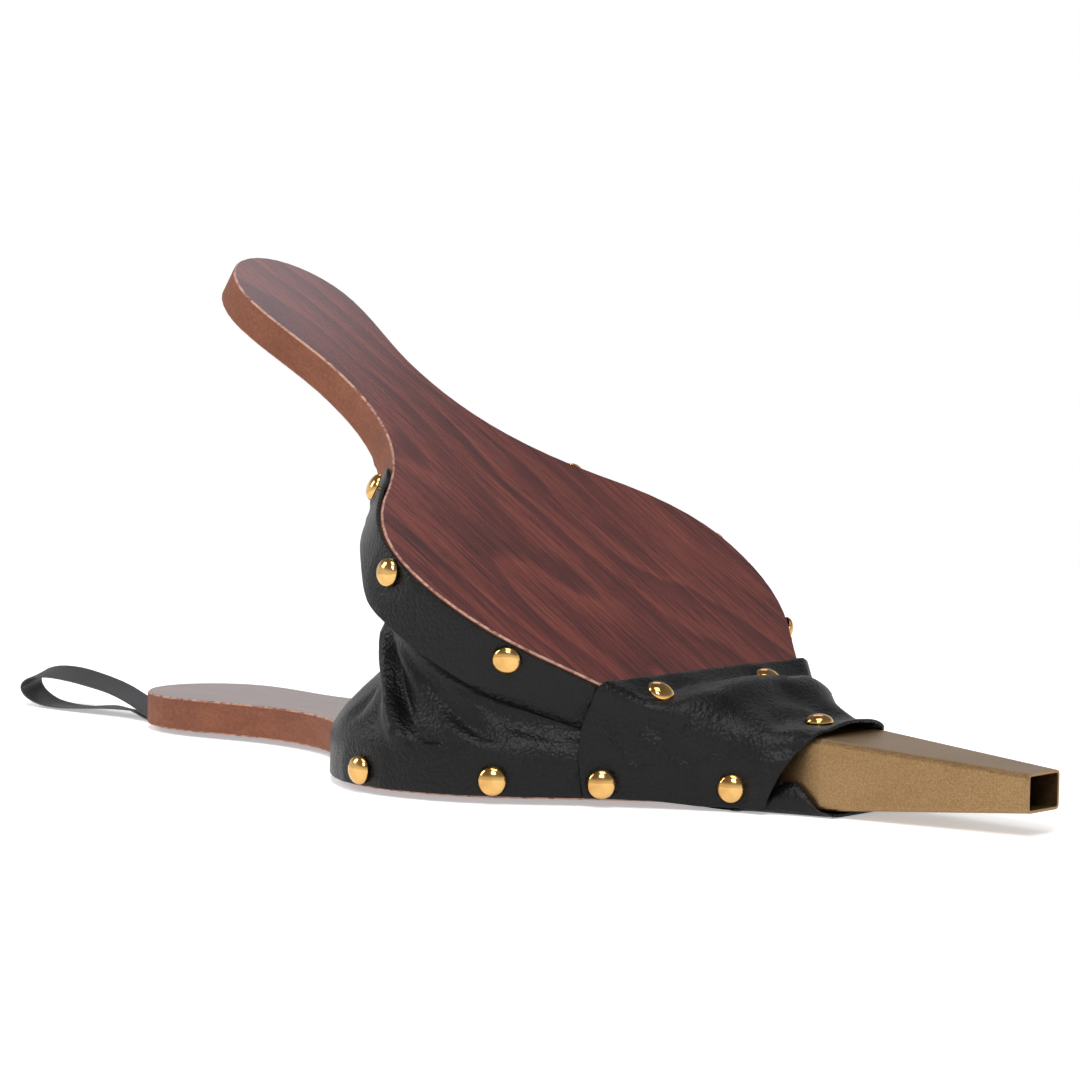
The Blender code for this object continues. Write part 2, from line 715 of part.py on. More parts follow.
def upper_nail_places():
    """The same for the nails in the upper board, in that board's own frame."""
    places = []
    for letter, d in UPPER_NAILS:
        for hand, side in (("right", -1.0), ("left", 1.0)):
            hollow = NECK_STANDOFF if letter == "a" else 0.0
            point, out = edge(d, side, GAP + LEATHER + GAP + hollow)
            at = (*point, -BOARD_THICKNESS / 2)
            places.append((f"upper_nail_{hand}_{letter}", at, (*out, 0.0)))
    height = WRAP_ON_TOP + LEATHER + GAP + WRAP_NAIL_LIFT
    for hand, y in WRAP_NAILS:
        at = (-WRAP_NAIL_DISTANCE, y, height)
        places.append((f"wrap_nail_{hand}", at, (0.0, 0.0, 1.0)))
    return places


def make_nails(pivot, lower, upper, block, nozzle, gusset, wrap):
    mesh = dome_nail_mesh("dome_nail", NAIL_SHANK_LENGTH)
    low, high = lower_nail_places(), upper_nail_places()
    for name, at, out in low:
        place(name, mesh, at, out)
    for name, at, out in high:
        place(name, mesh, at, out, pivot)
    name, at, out = nose_nail_place()
    place(name, dome_nail_mesh("short_dome_nail", NOSE_NAIL_SHANK), at, out)
    radius = NAIL_SHANK_RADIUS + GAP
    depth = NAIL_SHANK_LENGTH + HOLE_EXTRA
    low_holes = hole_cutter("low_nail_holes", [nail[1:] for nail in low], radius, depth)
    high_holes = hole_cutter("high_nail_holes", [nail[1:] for nail in high], radius, depth, pivot)
    nose_hole = hole_cutter("nose_nail_hole", [(at, out)], radius, NOSE_NAIL_SHANK + HOLE_EXTRA)
    for piece in (lower, gusset, wrap):
        cut(piece, low_holes)
    for piece in (upper, gusset, wrap):
        cut(piece, high_holes)
    for piece in (block, nozzle, wrap):
        cut(piece, nose_hole)


def tack_down(name, size, places, pieces, parent=None):
    """Places a screw or tack at each (suffix, point, direction) and drills the pieces for it."""
    mesh = screw_mesh(name, size)
    for suffix, at, out in places:
        place(f"{name}_{suffix}", mesh, at, out, parent)
    spots = [(at, out) for _, at, out in places]
    holes = hole_cutter(f"{name}_holes", spots, size[2] + GAP, size[3] + HOLE_EXTRA, parent)
    for piece in pieces:
        cut(piece, holes)


def make_neck_tacks(pivot, lower, upper, gusset):
    """Flat tacks that hold the gusset's flaps down on the two handles."""
    lift = GAP + LEATHER + GAP
    flap_middle = 9.0 + GUSSET_FLANGE * 0.55
    low, high = [], []
    for hand, side in (("right", -1.0), ("left", 1.0)):
        x = -(GUSSET_BACK_LOWER + flap_middle)
        low.append((hand, (x, side * LOWER_TACK_Y, LOWER_TOP + lift), (0.0, 0.0, 1.0)))
        x = -(GUSSET_BACK_UPPER + flap_middle)
        at = (x, side * UPPER_TACK_Y, -BOARD_THICKNESS - lift)
        high.append((hand, at, (0.0, 0.0, -1.0)))
    tack_down("lower_neck_tack", NECK_TACK, low, (lower, gusset))
    tack_down("upper_neck_tack", NECK_TACK, high, (upper, gusset), pivot)


def countersink(name, size, at, direction, pieces):
    """Places a countersunk screw or tack and sinks it into the pieces."""
    place(name, flush_screw_mesh(name, size), at, direction)
    sink = hide_cutter(place(f"{name}_sink", sink_mesh(f"{name}_sink", size), at, direction))
    for piece in pieces:
        cut(piece, sink)


def make_block_screws(lower, block):
    """Two countersunk screws up through the lower board into the block."""
    for hand, side in (("right", -1.0), ("left", 1.0)):
        at = (BLOCK_SCREW_X, side * BLOCK_SCREW_Y, BOARD_LIFT + GAP)
        countersink(f"block_screw_{hand}", BLOCK_SCREW, at, (0.0, 0.0, -1.0), (lower, block))


def make_nozzle_pins(nozzle, lower):
    """A short pin through each side of the nozzle into the tongue."""
    places = []
    for hand, side in (("right", -1.0), ("left", 1.0)):
        at = (NOZZLE_PIN_X, side * (ROOT_HALF_WIDTH + 0.1), LOWER_TOP - NOZZLE_PIN_DROP)
        places.append((hand, at, (0.0, side, 0.0)))
    tack_down("nozzle_pin", NOZZLE_PIN, places, (nozzle, lower))


# ---------------------------------------------------------------- inside

def spring_path():
    """Middle line of the hairpin in the XZ plane, from the lower leg to the upper leg."""
    rise = GAP + SPRING_THICKNESS / 2
    low_z = LOWER_TOP + rise
    high = tilt((0.0, 0.0, -BOARD_THICKNESS - rise))
    meet_x = high.x + (high.z - low_z) / math.tan(OPEN_ANGLE)
    half = OPEN_ANGLE / 2
    centre_reach = SPRING_BEND_RADIUS / math.sin(half)
    centre = Vector((meet_x - centre_reach * math.cos(half), low_z + centre_reach * math.sin(half)))
    path = [Vector((-SPRING_REACH, low_z)), Vector((-SPRING_REACH * 0.65, low_z))]
    bends = 9
    for i in range(bends + 1):
        angle = -math.pi / 2 + (math.pi - OPEN_ANGLE) * i / bends
        path.append(centre + SPRING_BEND_RADIUS * Vector((math.cos(angle), math.sin(angle))))
    for reach in (SPRING_REACH * 0.65, SPRING_REACH):
        end = tilt((-reach, 0.0, -BOARD_THICKNESS - rise))
        path.append(Vector((end.x, end.z)))
    return path


def make_return_spring(pivot, lower, upper):
    path = spring_path()
    half = SPRING_THICKNESS / 2
    one, other = [], []
    for i, point in enumerate(path):
        before, after = path[max(i - 1, 0)], path[min(i + 1, len(path) - 1)]
        along = (after - before).normalized()
        across = Vector((-along.y, along.x)) * half
        one.append(point + across)
        other.append(point - across)
    y = SPRING_WIDTH / 2
    inner = [[(p.x, -y, p.y), (p.x, y, p.y)] for p in one]
    outer = [[(p.x, -y, p.y), (p.x, y, p.y)] for p in other]
    points, faces = sheet(inner, outer)
    spring = new_object("return_spring", points, faces, STEEL)
    lift = GAP + SPRING_THICKNESS + GAP
    up, down = (0.0, 0.0, 1.0), (0.0, 0.0, -1.0)
    low = [(end, (-d, 0.0, LOWER_TOP + lift), up) for end, d in LOWER_SPRING_SCREWS]
    high = [(end, (-d, 0.0, -BOARD_THICKNESS - lift), down) for end, d in UPPER_SPRING_SCREWS]
    tack_down("lower_spring_screw", SPRING_SCREW, low, (spring, lower))
    tack_down("upper_spring_screw", SPRING_SCREW, high, (spring, upper), pivot)


def rounded_plan(x_low, x_high, half, corner):
    """Plan rectangle with its two corners at x_high rounded."""
    outline = [(x_low, -half)]
    for side, start in ((-1.0, -math.pi / 2), (1.0, 0.0)):
        for i in range(6):
            angle = start + math.pi / 2 * i / 5
            x = x_high - corner + corner * math.cos(angle)
            outline.append((x, side * (half - corner) + corner * math.sin(angle)))
    return outline + [(x_low, half)]


def make_valve(lower):
    low = LOWER_TOP + GAP
    high = low + VALVE_THICKNESS
    half = VALVE_WIDTH / 2
    outline = rounded_plan(VALVE_HINGE_X + GAP, VALVE_HINGE_X + VALVE_LENGTH, half, VALVE_CORNER)
    plate("valve_flap", outline, low, high, SUEDE, at=(VALVE_HINGE_X, 0.0, high))
    tab = box("valve_tab", (VALVE_HINGE_X - VALVE_TAB_LENGTH, -half, low),
              (VALVE_HINGE_X - GAP, half, high), SUEDE)
    places = []
    for hand, side in (("right", -1.0), ("left", 1.0)):
        at = (VALVE_HINGE_X - VALVE_TAB_LENGTH / 2, side * VALVE_TACK_Y, high + GAP)
        places.append((hand, at, (0.0, 0.0, 1.0)))
    tack_down("valve_tack", VALVE_TACK, places, (tab, lower))
    centre = ((INTAKE_X, 0.0, LOWER_TOP), (0.0, 0.0, 1.0))
    cut(lower, hole_cutter("intake_hole", [centre], INTAKE_RADIUS, BOARD_THICKNESS + 5.0))


# ---------------------------------------------------------------- strap

def catmull_rom(a, b, c, d, t):
    """Value at share t between b and c of the smooth curve through a, b, c and d."""
    square = (2 * a - 5 * b + 4 * c - d) * t**2
    cube = (3 * b - a - 3 * c + d) * t**3
    return 0.5 * (2 * b + (c - a) * t + square + cube)


def smooth_route(points, steps):
    """Smooth curve through points of any dimension."""
    ends = [points[0]] + list(points) + [points[-1]]
    curve = []
    for i in range(len(points) - 1):
        for k in range(steps):
            curve.append(tuple(catmull_rom(*values, k / steps) for values in zip(*ends[i:i + 4])))
    return curve + [tuple(points[-1])]


def make_strap(lower):
    """A flat strap folded into a teardrop loop, and its two ends stacked under the handle."""
    route = smooth_route(STRAP_ROUTE, 2)
    rings = []
    for i, (x, z, roll, shift) in enumerate(route):
        before, after = route[max(i - 1, 0)], route[min(i + 1, len(route) - 1)]
        along = Vector((after[0] - before[0], 0.0, after[1] - before[1])).normalized()
        if i in (0, len(route) - 1):
            along = Vector((math.copysign(1.0, along.x), 0.0, 0.0))
        roll = math.radians(roll)
        wide = Vector((shift / STRAP_WIDTH, math.cos(roll), math.sin(roll))).normalized()
        thick = along.cross(wide).normalized()
        centre = Vector((STRAP_PIVOT_X + x, 0.0, z))
        w, t = wide * STRAP_WIDTH / 2, thick * STRAP_THICKNESS / 2
        rings.append([centre - w - t, centre + w - t, centre + w + t, centre - w + t])
    points, faces = loft(rings)
    new_object("strap_loop", points, faces, STRAP_GREY, at=(STRAP_PIVOT_X, 0.0, STRAP_PIVOT_Z))
    half = STRAP_WIDTH / 2
    tab = box("strap_tab", (STRAP_PIVOT_X + STRAP_TAB_START, -half, 0.0),
              (STRAP_PIVOT_X + STRAP_TAB_LENGTH, half, PAD_THICKNESS), STRAP_GREY)
    at = (STRAP_PIVOT_X + STRAP_TACK_REACH, 0.0, 0.15)
    countersink("strap_tack", STRAP_TACK, at, (0.0, 0.0, -1.0), (tab, lower))


# ---------------------------------------------------------------- assembly

def main():
    clear_scene()
    pivot = bpy.data.objects.new("hinge_axis", None)
    bpy.context.scene.collection.objects.link(pivot)
    pivot.location = (0.0, 0.0, HINGE_Z * MM)
    pivot.rotation_euler = (0.0, OPEN_ANGLE, 0.0)

    lower = make_lower_board()
    join(lower, make_tongue())
    upper = make_upper_board(pivot)
    block = make_nose_block()
    nozzle = make_nozzle()
    gusset = make_gusset()
    wrap = make_nose_wrap()
    make_under_wrap()
    make_nails(pivot, lower, upper, block, nozzle, gusset, wrap)
    make_neck_tacks(pivot, lower, upper, gusset)
    make_block_screws(lower, block)
    make_nozzle_pins(nozzle, lower)
    make_return_spring(pivot, lower, upper)
    make_valve(lower)
    make_strap(lower)


main()
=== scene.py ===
"""Looks of a pair of hearth bellows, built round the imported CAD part.

Lengths in the code are millimetres in the part's own frame: +Z up, +X towards the
nozzle's tip, the origin on the ground below the hinge line. "Distance" d runs from the
hinge line along a board, positive towards the handle. MM turns them into metres.
"""
import json
import math
from collections import namedtuple

import bpy
import numpy as np
from mathutils import Matrix, Vector


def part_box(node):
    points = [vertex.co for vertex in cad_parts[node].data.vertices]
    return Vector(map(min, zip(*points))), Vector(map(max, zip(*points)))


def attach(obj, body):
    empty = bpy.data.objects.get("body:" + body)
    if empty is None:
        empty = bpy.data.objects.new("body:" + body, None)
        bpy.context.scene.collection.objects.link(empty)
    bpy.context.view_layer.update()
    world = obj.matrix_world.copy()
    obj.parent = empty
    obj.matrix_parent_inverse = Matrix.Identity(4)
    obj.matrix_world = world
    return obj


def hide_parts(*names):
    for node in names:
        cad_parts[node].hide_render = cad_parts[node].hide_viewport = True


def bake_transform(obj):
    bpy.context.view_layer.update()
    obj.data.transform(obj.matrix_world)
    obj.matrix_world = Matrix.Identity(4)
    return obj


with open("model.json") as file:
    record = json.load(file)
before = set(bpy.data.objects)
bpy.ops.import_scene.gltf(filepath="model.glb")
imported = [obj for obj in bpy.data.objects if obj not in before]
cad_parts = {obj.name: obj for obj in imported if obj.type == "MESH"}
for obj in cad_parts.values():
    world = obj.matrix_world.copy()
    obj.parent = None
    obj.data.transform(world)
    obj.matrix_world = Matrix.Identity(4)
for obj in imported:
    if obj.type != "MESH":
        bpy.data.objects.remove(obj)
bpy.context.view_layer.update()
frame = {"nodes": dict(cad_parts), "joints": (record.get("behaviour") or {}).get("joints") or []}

MM = 0.001
NODES = frame["nodes"]
HINGE_Z = next(j for j in frame["joints"] if j["name"] == "board_hinge")["pos_m"][2] / MM


def node_box(name):
    """Lowest and highest corner of a CAD node in millimetres."""
    low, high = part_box(name)
    return low / MM, high / MM


def board_slope():
    """Angle between the boards: the upper board's largest face gives its plane."""
    face = max(NODES["upper_board"].data.polygons, key=lambda f: f.area)
    normal = face.normal if face.normal.z > 0.0 else -face.normal
    return math.atan2(normal.x, normal.z)


OPEN_ANGLE = board_slope()
THICKNESS = 12.0
LOWER_LOW = node_box("lower_board")[0].z
LOWER_TOP = LOWER_LOW + THICKNESS
GAP = 0.3  # between the leather and the wood under it
LEATHER, UNDER_LEATHER, SPRING_STEEL = 1.2, 1.0, 1.0  # thicknesses
OUTWARDS, CENTRED, INWARDS = 1.0, 0.0, -1.0  # where a sheet's thickness goes
NOZZLE_START = node_box("nozzle")[0].x
NOZZLE_HALF = node_box("nozzle")[1].y
NOZZLE_TOP = node_box("nozzle")[1].z

# The paddle's outline: (distance, half width, slope), joined by cubic curves
OUTLINE = (
    (-40.0, 23.0, 0.0),
    (43.7, 67.4, 0.85),
    (92.0, 86.0, 0.0),
    (135.0, 59.6, -1.36),
    (206.0, 21.0, 0.0),
    (249.0, 26.7, 0.0),
)

# Dome nails
HEAD_RADIUS, HEAD_HEIGHT = 4.9, 3.2

# Gusset: where it starts and ends, as distances along the boards
FRONT = 10.0
BACK_LOWER, BACK_UPPER = 132.0, 154.0
SIDE_UPPER = 148.0  # where the band round the upper board's edge ends
FLANGE = 8.0  # flaps tacked to the handles
BAND_MARGIN = 0.8  # bare wood beside the bands

# Strap loop: (x beyond the pivot, height, roll in degrees, shift of the far edge)
STRAP_WIDTH, STRAP_THICKNESS = 14.0, 0.6
STRAP_PIVOT_X = -279.2
STRAP_ROUTE = (
    (0.0, 0.35, 0.0, 0.0), (-5.0, 1.1, -3.0, 0.0), (-11.0, 2.1, -9.0, -1.0),
    (-19.0, 2.7, -14.0, -2.0), (-30.0, 2.1, -10.0, -3.0), (-42.0, 1.1, -4.0, -3.0),
    (-54.0, 0.6, -1.0, -3.0), (-64.0, 1.4, 2.0, -3.0), (-71.5, 4.2, 6.0, -3.0),
    (-74.0, 8.0, 8.0, -3.0), (-70.5, 11.4, 10.0, -3.5), (-62.0, 13.2, 13.0, -4.0),
    (-50.0, 13.2, 15.0, -4.0), (-36.0, 11.6, 13.0, -4.0), (-24.0, 9.4, 8.0, -3.0),
    (-13.0, 6.0, 3.0, -2.0), (-5.0, 2.8, 0.0, 0.0), (0.0, 1.15, 0.0, 0.0),
)


# ---- shapes of the part

def half_width(d):
    """Half width of a board at a distance from the hinge line, and its slope."""
    d = min(max(d, OUTLINE[0][0]), OUTLINE[-1][0])
    for (d0, w0, s0), (d1, w1, s1) in zip(OUTLINE, OUTLINE[1:]):
        if d <= d1:
            break
    h = d1 - d0
    t = (d - d0) / h
    width = w0 * (2 * t**3 - 3 * t**2 + 1) + w1 * (3 * t**2 - 2 * t**3)
    width += h * s0 * (t**3 - 2 * t**2 + t) + h * s1 * (t**3 - t**2)
    slope = (w1 - w0) * (6 * t - 6 * t**2) / h
    slope += s0 * (3 * t**2 - 4 * t + 1) + s1 * (3 * t**2 - 2 * t)
    return width, slope


def edge(d, side, offset):
    """Plan point beside a board's edge and the outward direction there."""
    width, slope = half_width(d)
    normal = np.array([slope, side]) / math.hypot(slope, 1.0)
    return np.array([-d, side * width]) + normal * offset, normal


def tilt(x, y, z):
    """From the upper board's frame (origin on the hinge line) to the part's frame."""
    c, s = math.cos(OPEN_ANGLE), math.sin(OPEN_ANGLE)
    return np.array([x * c + z * s, y, HINGE_Z - x * s + z * c])


def along_upper(x, z):
    """Place along the upper board, positive towards the nozzle, and height above it."""
    c, s, z = math.cos(OPEN_ANGLE), math.sin(OPEN_ANGLE), z - HINGE_Z
    return x * c - z * s, x * s + z * c


def step(low, high, x):
    """Smooth step from 0 at low to 1 at high, for numbers and arrays."""
    t = np.clip((x - low) / (high - low), 0.0, 1.0)
    return t * t * (3.0 - 2.0 * t)


def bump(x, centre, width):
    """Bell of height 1 at a centre, for numbers and arrays."""
    return np.exp(-(((x - centre) / width) ** 2))


def catmull_rom(points, steps):
    """Smooth curve through points of any dimension, with steps parts per span."""
    points = np.array(points, float)
    ends = np.vstack([points[:1], points, points[-1:]])
    curve = []
    for i in range(len(points) - 1):
        a, b, c, d = ends[i:i + 4]
        for k in range(steps):
            t = k / steps
            square = (2 * a - 5 * b + 4 * c - d) * t**2
            cube = (3 * b - a - 3 * c + d) * t**3
            curve.append(0.5 * (2 * b + (c - a) * t + square + cube))
    return np.array(curve + [points[-1]])


def along(points, shares):
    """Points at shares 0 to 1 of a smooth curve's length."""
    fine = catmull_rom(points, 8)
    run = np.r_[0.0, np.cumsum(np.linalg.norm(np.diff(fine, axis=0), axis=1))]
    wanted = np.array(shares) * run[-1]
    return np.array([np.interp(wanted, run, fine[:, k]) for k in range(3)]).T


# ---- mesh helpers

def add_object(name, data):
    obj = bpy.data.objects.new(name, data)
    bpy.context.scene.collection.objects.link(obj)
    return obj


def mesh_object(name, points, faces, material):
    """Object from millimetre points and faces."""
    mesh = bpy.data.meshes.new(name)
    mesh.from_pydata([tuple(p) for p in np.asarray(points) * MM], [], faces)
    mesh.materials.append(material)
    return add_object(name, mesh)


def grid_object(name, grid, material):
    """Open sheet from a grid of points (rows, columns, 3)."""
    rows, columns = grid.shape[:2]
    starts = [r * columns + c for r in range(rows - 1) for c in range(columns - 1)]
    faces = [(a, a + 1, a + columns + 1, a + columns) for a in starts]
    return mesh_object(name, grid.reshape(-1, 3), faces, material)


def bake(obj):
    """Applies the object's modifiers to its mesh."""
    deps = bpy.context.evaluated_depsgraph_get()
    mesh = bpy.data.meshes.new_from_object(obj.evaluated_get(deps))
    obj.modifiers.clear()
    obj.data = mesh


def finish_mesh(obj, sharp=50.0):
    """Smooth shading, except over edges sharper than an angle in degrees."""
    obj.data.shade_smooth()
    obj.data.set_sharp_from_angle(angle=math.radians(sharp))


def round_edges(obj, width, limit, segments=2):
    """Rounds the edges that are sharper than a limit in degrees."""
    rounding = obj.modifiers.new("edge", "BEVEL")
    rounding.width = width * MM
    rounding.segments = segments
    rounding.limit_method = "ANGLE"
    rounding.angle_limit = math.radians(limit)


def thicken(obj, thickness, offset=OUTWARDS, edge_round=0.3, limit=65.0):
    """Gives a sheet its thickness and slightly rounded cut edges."""
    solid = obj.modifiers.new("thickness", "SOLIDIFY")
    solid.thickness = thickness * MM
    solid.offset = offset
    solid.use_even_offset = False
    round_edges(obj, edge_round, limit)
    bake(obj)


def coordinates(obj):
    """The mesh's points in millimetres."""
    co = np.zeros(len(obj.data.vertices) * 3, np.float32)
    obj.data.vertices.foreach_get("co", co)
    return co.reshape(-1, 3).astype(float) / MM


def set_coordinates(obj, points):
    obj.data.vertices.foreach_set("co", (points * MM).astype(np.float32).ravel())
    obj.data.update()


def blur(grid, rounds):
    """Softens a grid of values along both of its directions."""
    for _ in range(rounds):
        for axis in (0, 1):
            first, last = grid.take([0], axis), grid.take([-1], axis)
            padded = np.concatenate([first, grid, last], axis)
            size = grid.shape[axis]
            before = padded.take(range(size), axis)
            after = padded.take(range(2, size + 2), axis)
            grid = 0.5 * grid + 0.25 * (before + after)
    return grid


# Soft leather for the cloth simulation
CLOTH = {
    "quality": 8, "mass": 0.4,
    "tension_stiffness": 40.0, "compression_stiffness": 40.0,
    "shear_stiffness": 20.0, "bending_stiffness": 6.0,
}
BLUR_ROUNDS = 7


def settle(obj, shape, pins, slack, frames, cap, gravity=0.3):
    """Cloth simulation of a grid: pins hold it, the rest buckles by at most cap (mm)."""
    scene = bpy.context.scene
    before = coordinates(obj)
    group = obj.vertex_groups.new(name="pinned")
    for i in np.flatnonzero(pins > 0.01):
        group.add([int(i)], float(pins[i]), "REPLACE")
    cloth = obj.modifiers.new("cloth", "CLOTH")
    for key, value in CLOTH.items():
        setattr(cloth.settings, key, value)
    cloth.settings.vertex_group_mass = group.name
    cloth.settings.shrink_min = -slack
    cloth.settings.effector_weights.gravity = gravity
    cloth.collision_settings.use_self_collision = False
    for number in range(1, frames + 1):
        scene.frame_set(number)
    deps = bpy.context.evaluated_depsgraph_get()
    settled = obj.evaluated_get(deps).to_mesh()
    moved = np.array([v.co for v in settled.vertices], float) / MM - before
    far = np.linalg.norm(moved, axis=1)
    scale = np.where(far > 1e-9, cap * np.tanh(far / cap) / np.maximum(far, 1e-9), 1.0)
    obj.modifiers.remove(cloth)
    scene.frame_set(1)
    buckles = blur((moved * scale[:, None]).reshape(*shape, 3), BLUR_ROUNDS).reshape(-1, 3)
    set_coordinates(obj, before + buckles * (1.0 - np.minimum(pins, 1.0))[:, None])


def nail_axis(node):
    """Top of a nail's head and its outward direction, from the CAD nail's two poles."""
    points = np.array([v.co for v in NODES[node].data.vertices], float) / MM
    middle = points.mean(0)
    first = points[np.argmax(np.linalg.norm(points - middle, axis=1))]
    top = points[np.argmax(np.linalg.norm(points - first, axis=1))]
    if np.linalg.norm(first - middle) < np.linalg.norm(top - middle):
        first, top = top, first
    return top, (top - first) / np.linalg.norm(top - first)


def press_round_nails(points, nodes, depth=0.5):
    """Leather dips under each nail's head and swells a little round it."""
    reach, swell = 8.5, 0.35
    for node in nodes:
        top, out = nail_axis(node)
        offset = points - (top - out * HEAD_HEIGHT)
        height = offset @ out
        radius = np.linalg.norm(offset - height[:, None] * out, axis=1)
        near = (np.abs(height) < 7.0) & (radius < 3.0 * reach)
        dip = -depth * bump(radius, 0.0, reach * 0.7) + swell * bump(radius, reach * 1.25, 2.6)
        points[near] += dip[near, None] * out
    return points


# ---- materials

def set_stops(ramp, stops):
    """Gives a colour ramp node its (position, linear colour) stops."""
    elements = ramp.color_ramp.elements
    while len(elements) < len(stops):
        elements.new(0.5)
    for element, (position, colour) in zip(elements, stops):
        element.position = position
        element.color = (*colour, 1.0)


class Nodes:
    """A small helper for writing node trees."""

    def __init__(self, name):
        self.material = bpy.data.materials.new(name)
        self.material.use_nodes = True
        self.tree = self.material.node_tree
        self.shader = self.tree.nodes["Principled BSDF"]

    def add(self, kind, links=None, **values):
        node = self.tree.nodes.new("ShaderNode" + kind)
        for key, value in values.items():
            setattr(node, key, value)
        for socket, source in (links or {}).items():
            self.feed(node.inputs[socket], source)
        return node

    def feed(self, socket, source):
        """Links an input to another node's output, or sets it to a plain value."""
        if isinstance(source, bpy.types.NodeSocket):
            self.tree.links.new(source, socket)
        else:
            socket.default_value = source

    def object_point(self, scale=(1.0, 1.0, 1.0), rotation=(0.0, 0.0, 0.0)):
        """Object coordinates in millimetres, turned and then scaled."""
        place = self.add("TexCoord").outputs["Object"]
        turned = self.add("VectorRotate", {"Vector": place, "Rotation": rotation},
                          rotation_type="EULER_XYZ").outputs["Vector"]
        size = tuple(s / MM for s in scale)
        return self.add("VectorMath", {0: turned, 1: size}, operation="MULTIPLY").outputs[0]

    def math(self, operation, a, b=0.0, clamp=False):
        node = self.add("Math", {0: a, 1: b}, operation=operation, use_clamp=clamp)
        return node.outputs[0]

    def total(self, *terms, base=0.0):
        """Sum of (value, weight) terms, plus a base."""
        result = None
        for value, weight in terms:
            part = self.math("MULTIPLY", value, weight)
            result = part if result is None else self.math("ADD", result, part)
        return self.math("ADD", result, base) if base else result

    def noise(self, vector, scale, detail=3.0, roughness=0.5):
        links = {"Vector": vector, "Scale": scale, "Detail": detail, "Roughness": roughness}
        return self.add("TexNoise", links).outputs["Fac"]

    def field(self, scale, detail=3.0, roughness=0.5, turn=(0.0, 0.0, 0.0)):
        """Noise with one scale per millimetre, or with one for each axis."""
        scale = scale if isinstance(scale, tuple) else (scale, scale, scale)
        return self.noise(self.object_point(scale, turn), 1.0, detail, roughness)

    def ramp(self, factor, stops):
        """Colour ramp with (position, linear colour) stops."""
        node = self.add("ValToRGB", {"Fac": factor})
        set_stops(node, stops)
        return node.outputs["Color"]

    def mix(self, factor, a, b, blend="MIX"):
        links = {0: factor, 6: a, 7: b}
        return self.add("Mix", links, data_type="RGBA", blend_type=blend).outputs[2]

    def mix_values(self, factor, a, b):
        return self.add("Mix", {0: factor, 2: a, 3: b}, data_type="FLOAT").outputs[0]

    def set(self, **values):
        for key, value in values.items():
            self.feed(self.shader.inputs[key.replace("_", " ")], value)

    def bump(self, height, distance, strength=1.0):
        """Bump of a height of 0 to 1 that stands for a distance in millimetres."""
        node = self.add("Bump", {"Height": height, "Strength": strength,
                                 "Distance": distance * MM})
        self.set(Normal=node.outputs["Normal"])


def laminate(name, slope):
    """Mahogany laminate on the faces, fibreboard on the edges, a pale line between."""
    n = Nodes(name)
    turn = (0.0, -slope, 0.0)
    point = n.object_point(rotation=turn)
    # Slow waves bend the grain into long cathedral arches with one crisp flank each
    wander = n.field((0.008, 0.022, 0.004), 2.0, 0.45, turn)
    arch = n.field((0.0035, 0.011, 0.004), 1.0, 0.4, turn)
    apart = n.add("SeparateXYZ", {0: point})
    across = n.math("MULTIPLY", apart.outputs["Y"], 0.030)
    bend = n.math("MULTIPLY", n.math("SUBTRACT", wander, 0.5), 3.0)
    sweep = n.math("MULTIPLY", n.math("SUBTRACT", arch, 0.5), 6.0)
    phase = n.math("ADD", n.math("ADD", across, bend), sweep)
    rings = n.ramp(n.math("FRACT", phase), (
        (0.0, (0.15, 0.15, 0.15)),
        (0.10, (0.90, 0.90, 0.90)),
        (0.45, (0.60, 0.60, 0.60)),
        (1.0, (0.15, 0.15, 0.15)),
    ))
    fine = n.field((0.030, 0.95, 0.1), 5.0, 0.72, turn)
    streak = n.field((0.006, 0.16, 0.05), 4.0, 0.55, turn)
    wood = n.ramp(n.total((rings, 0.18), (fine, 0.62), (streak, 0.19)), (
        (0.32, (0.032, 0.0050, 0.0052)),
        (0.44, (0.076, 0.0120, 0.0100)),
        (0.54, (0.132, 0.0240, 0.0170)),
        (0.68, (0.210, 0.0500, 0.0320)),
    ))
    pores = n.field((0.05, 1.5, 0.4), 3.0, 0.65, turn)
    pore = n.ramp(pores, ((0.36, (0.25, 0.25, 0.27)), (0.46, (1.0, 1.0, 1.0))))
    face = n.mix(0.8, wood, pore, "MULTIPLY")
    # Fibreboard: mottled and slightly furry
    fibres = n.field((0.7, 0.7, 1.2), 5.0, 0.7, turn)
    mottle = n.field((0.05, 0.05, 0.12), 3.0, 0.6, turn)
    core = n.ramp(n.total((fibres, 0.6), (mottle, 0.4)), (
        (0.30, (0.095, 0.024, 0.009)),
        (0.50, (0.160, 0.046, 0.018)),
        (0.72, (0.240, 0.084, 0.036)),
    ))
    # How squarely a face looks along the board's own Z, from the object-space normal
    normal = n.add("TexCoord").outputs["Normal"]
    facing = n.add("VectorRotate", {"Vector": normal, "Rotation": turn},
                   rotation_type="EULER_XYZ")
    up = n.add("SeparateXYZ", {0: facing.outputs["Vector"]}).outputs["Z"]
    square = n.math("ABSOLUTE", up)
    is_face = n.math("GREATER_THAN", square, 0.95)
    is_lip = n.math("GREATER_THAN", square, 0.25)
    chips = n.field(0.35, 3.0, 0.7, turn)
    pale = n.ramp(chips, ((0.36, (0.160, 0.060, 0.045)), (0.56, (0.420, 0.240, 0.180))))
    colour = n.mix(is_lip, core, pale)
    colour = n.mix(is_face, colour, face)
    rough = n.mix_values(is_face, 0.8, n.total((fine, 0.10), base=0.20))
    n.set(Base_Color=colour, Roughness=rough, Specular_IOR_Level=0.55)
    n.bump(n.mix_values(is_face, fibres, n.math("MULTIPLY", pores, 0.25)), 0.12, 0.5)
    return n.material


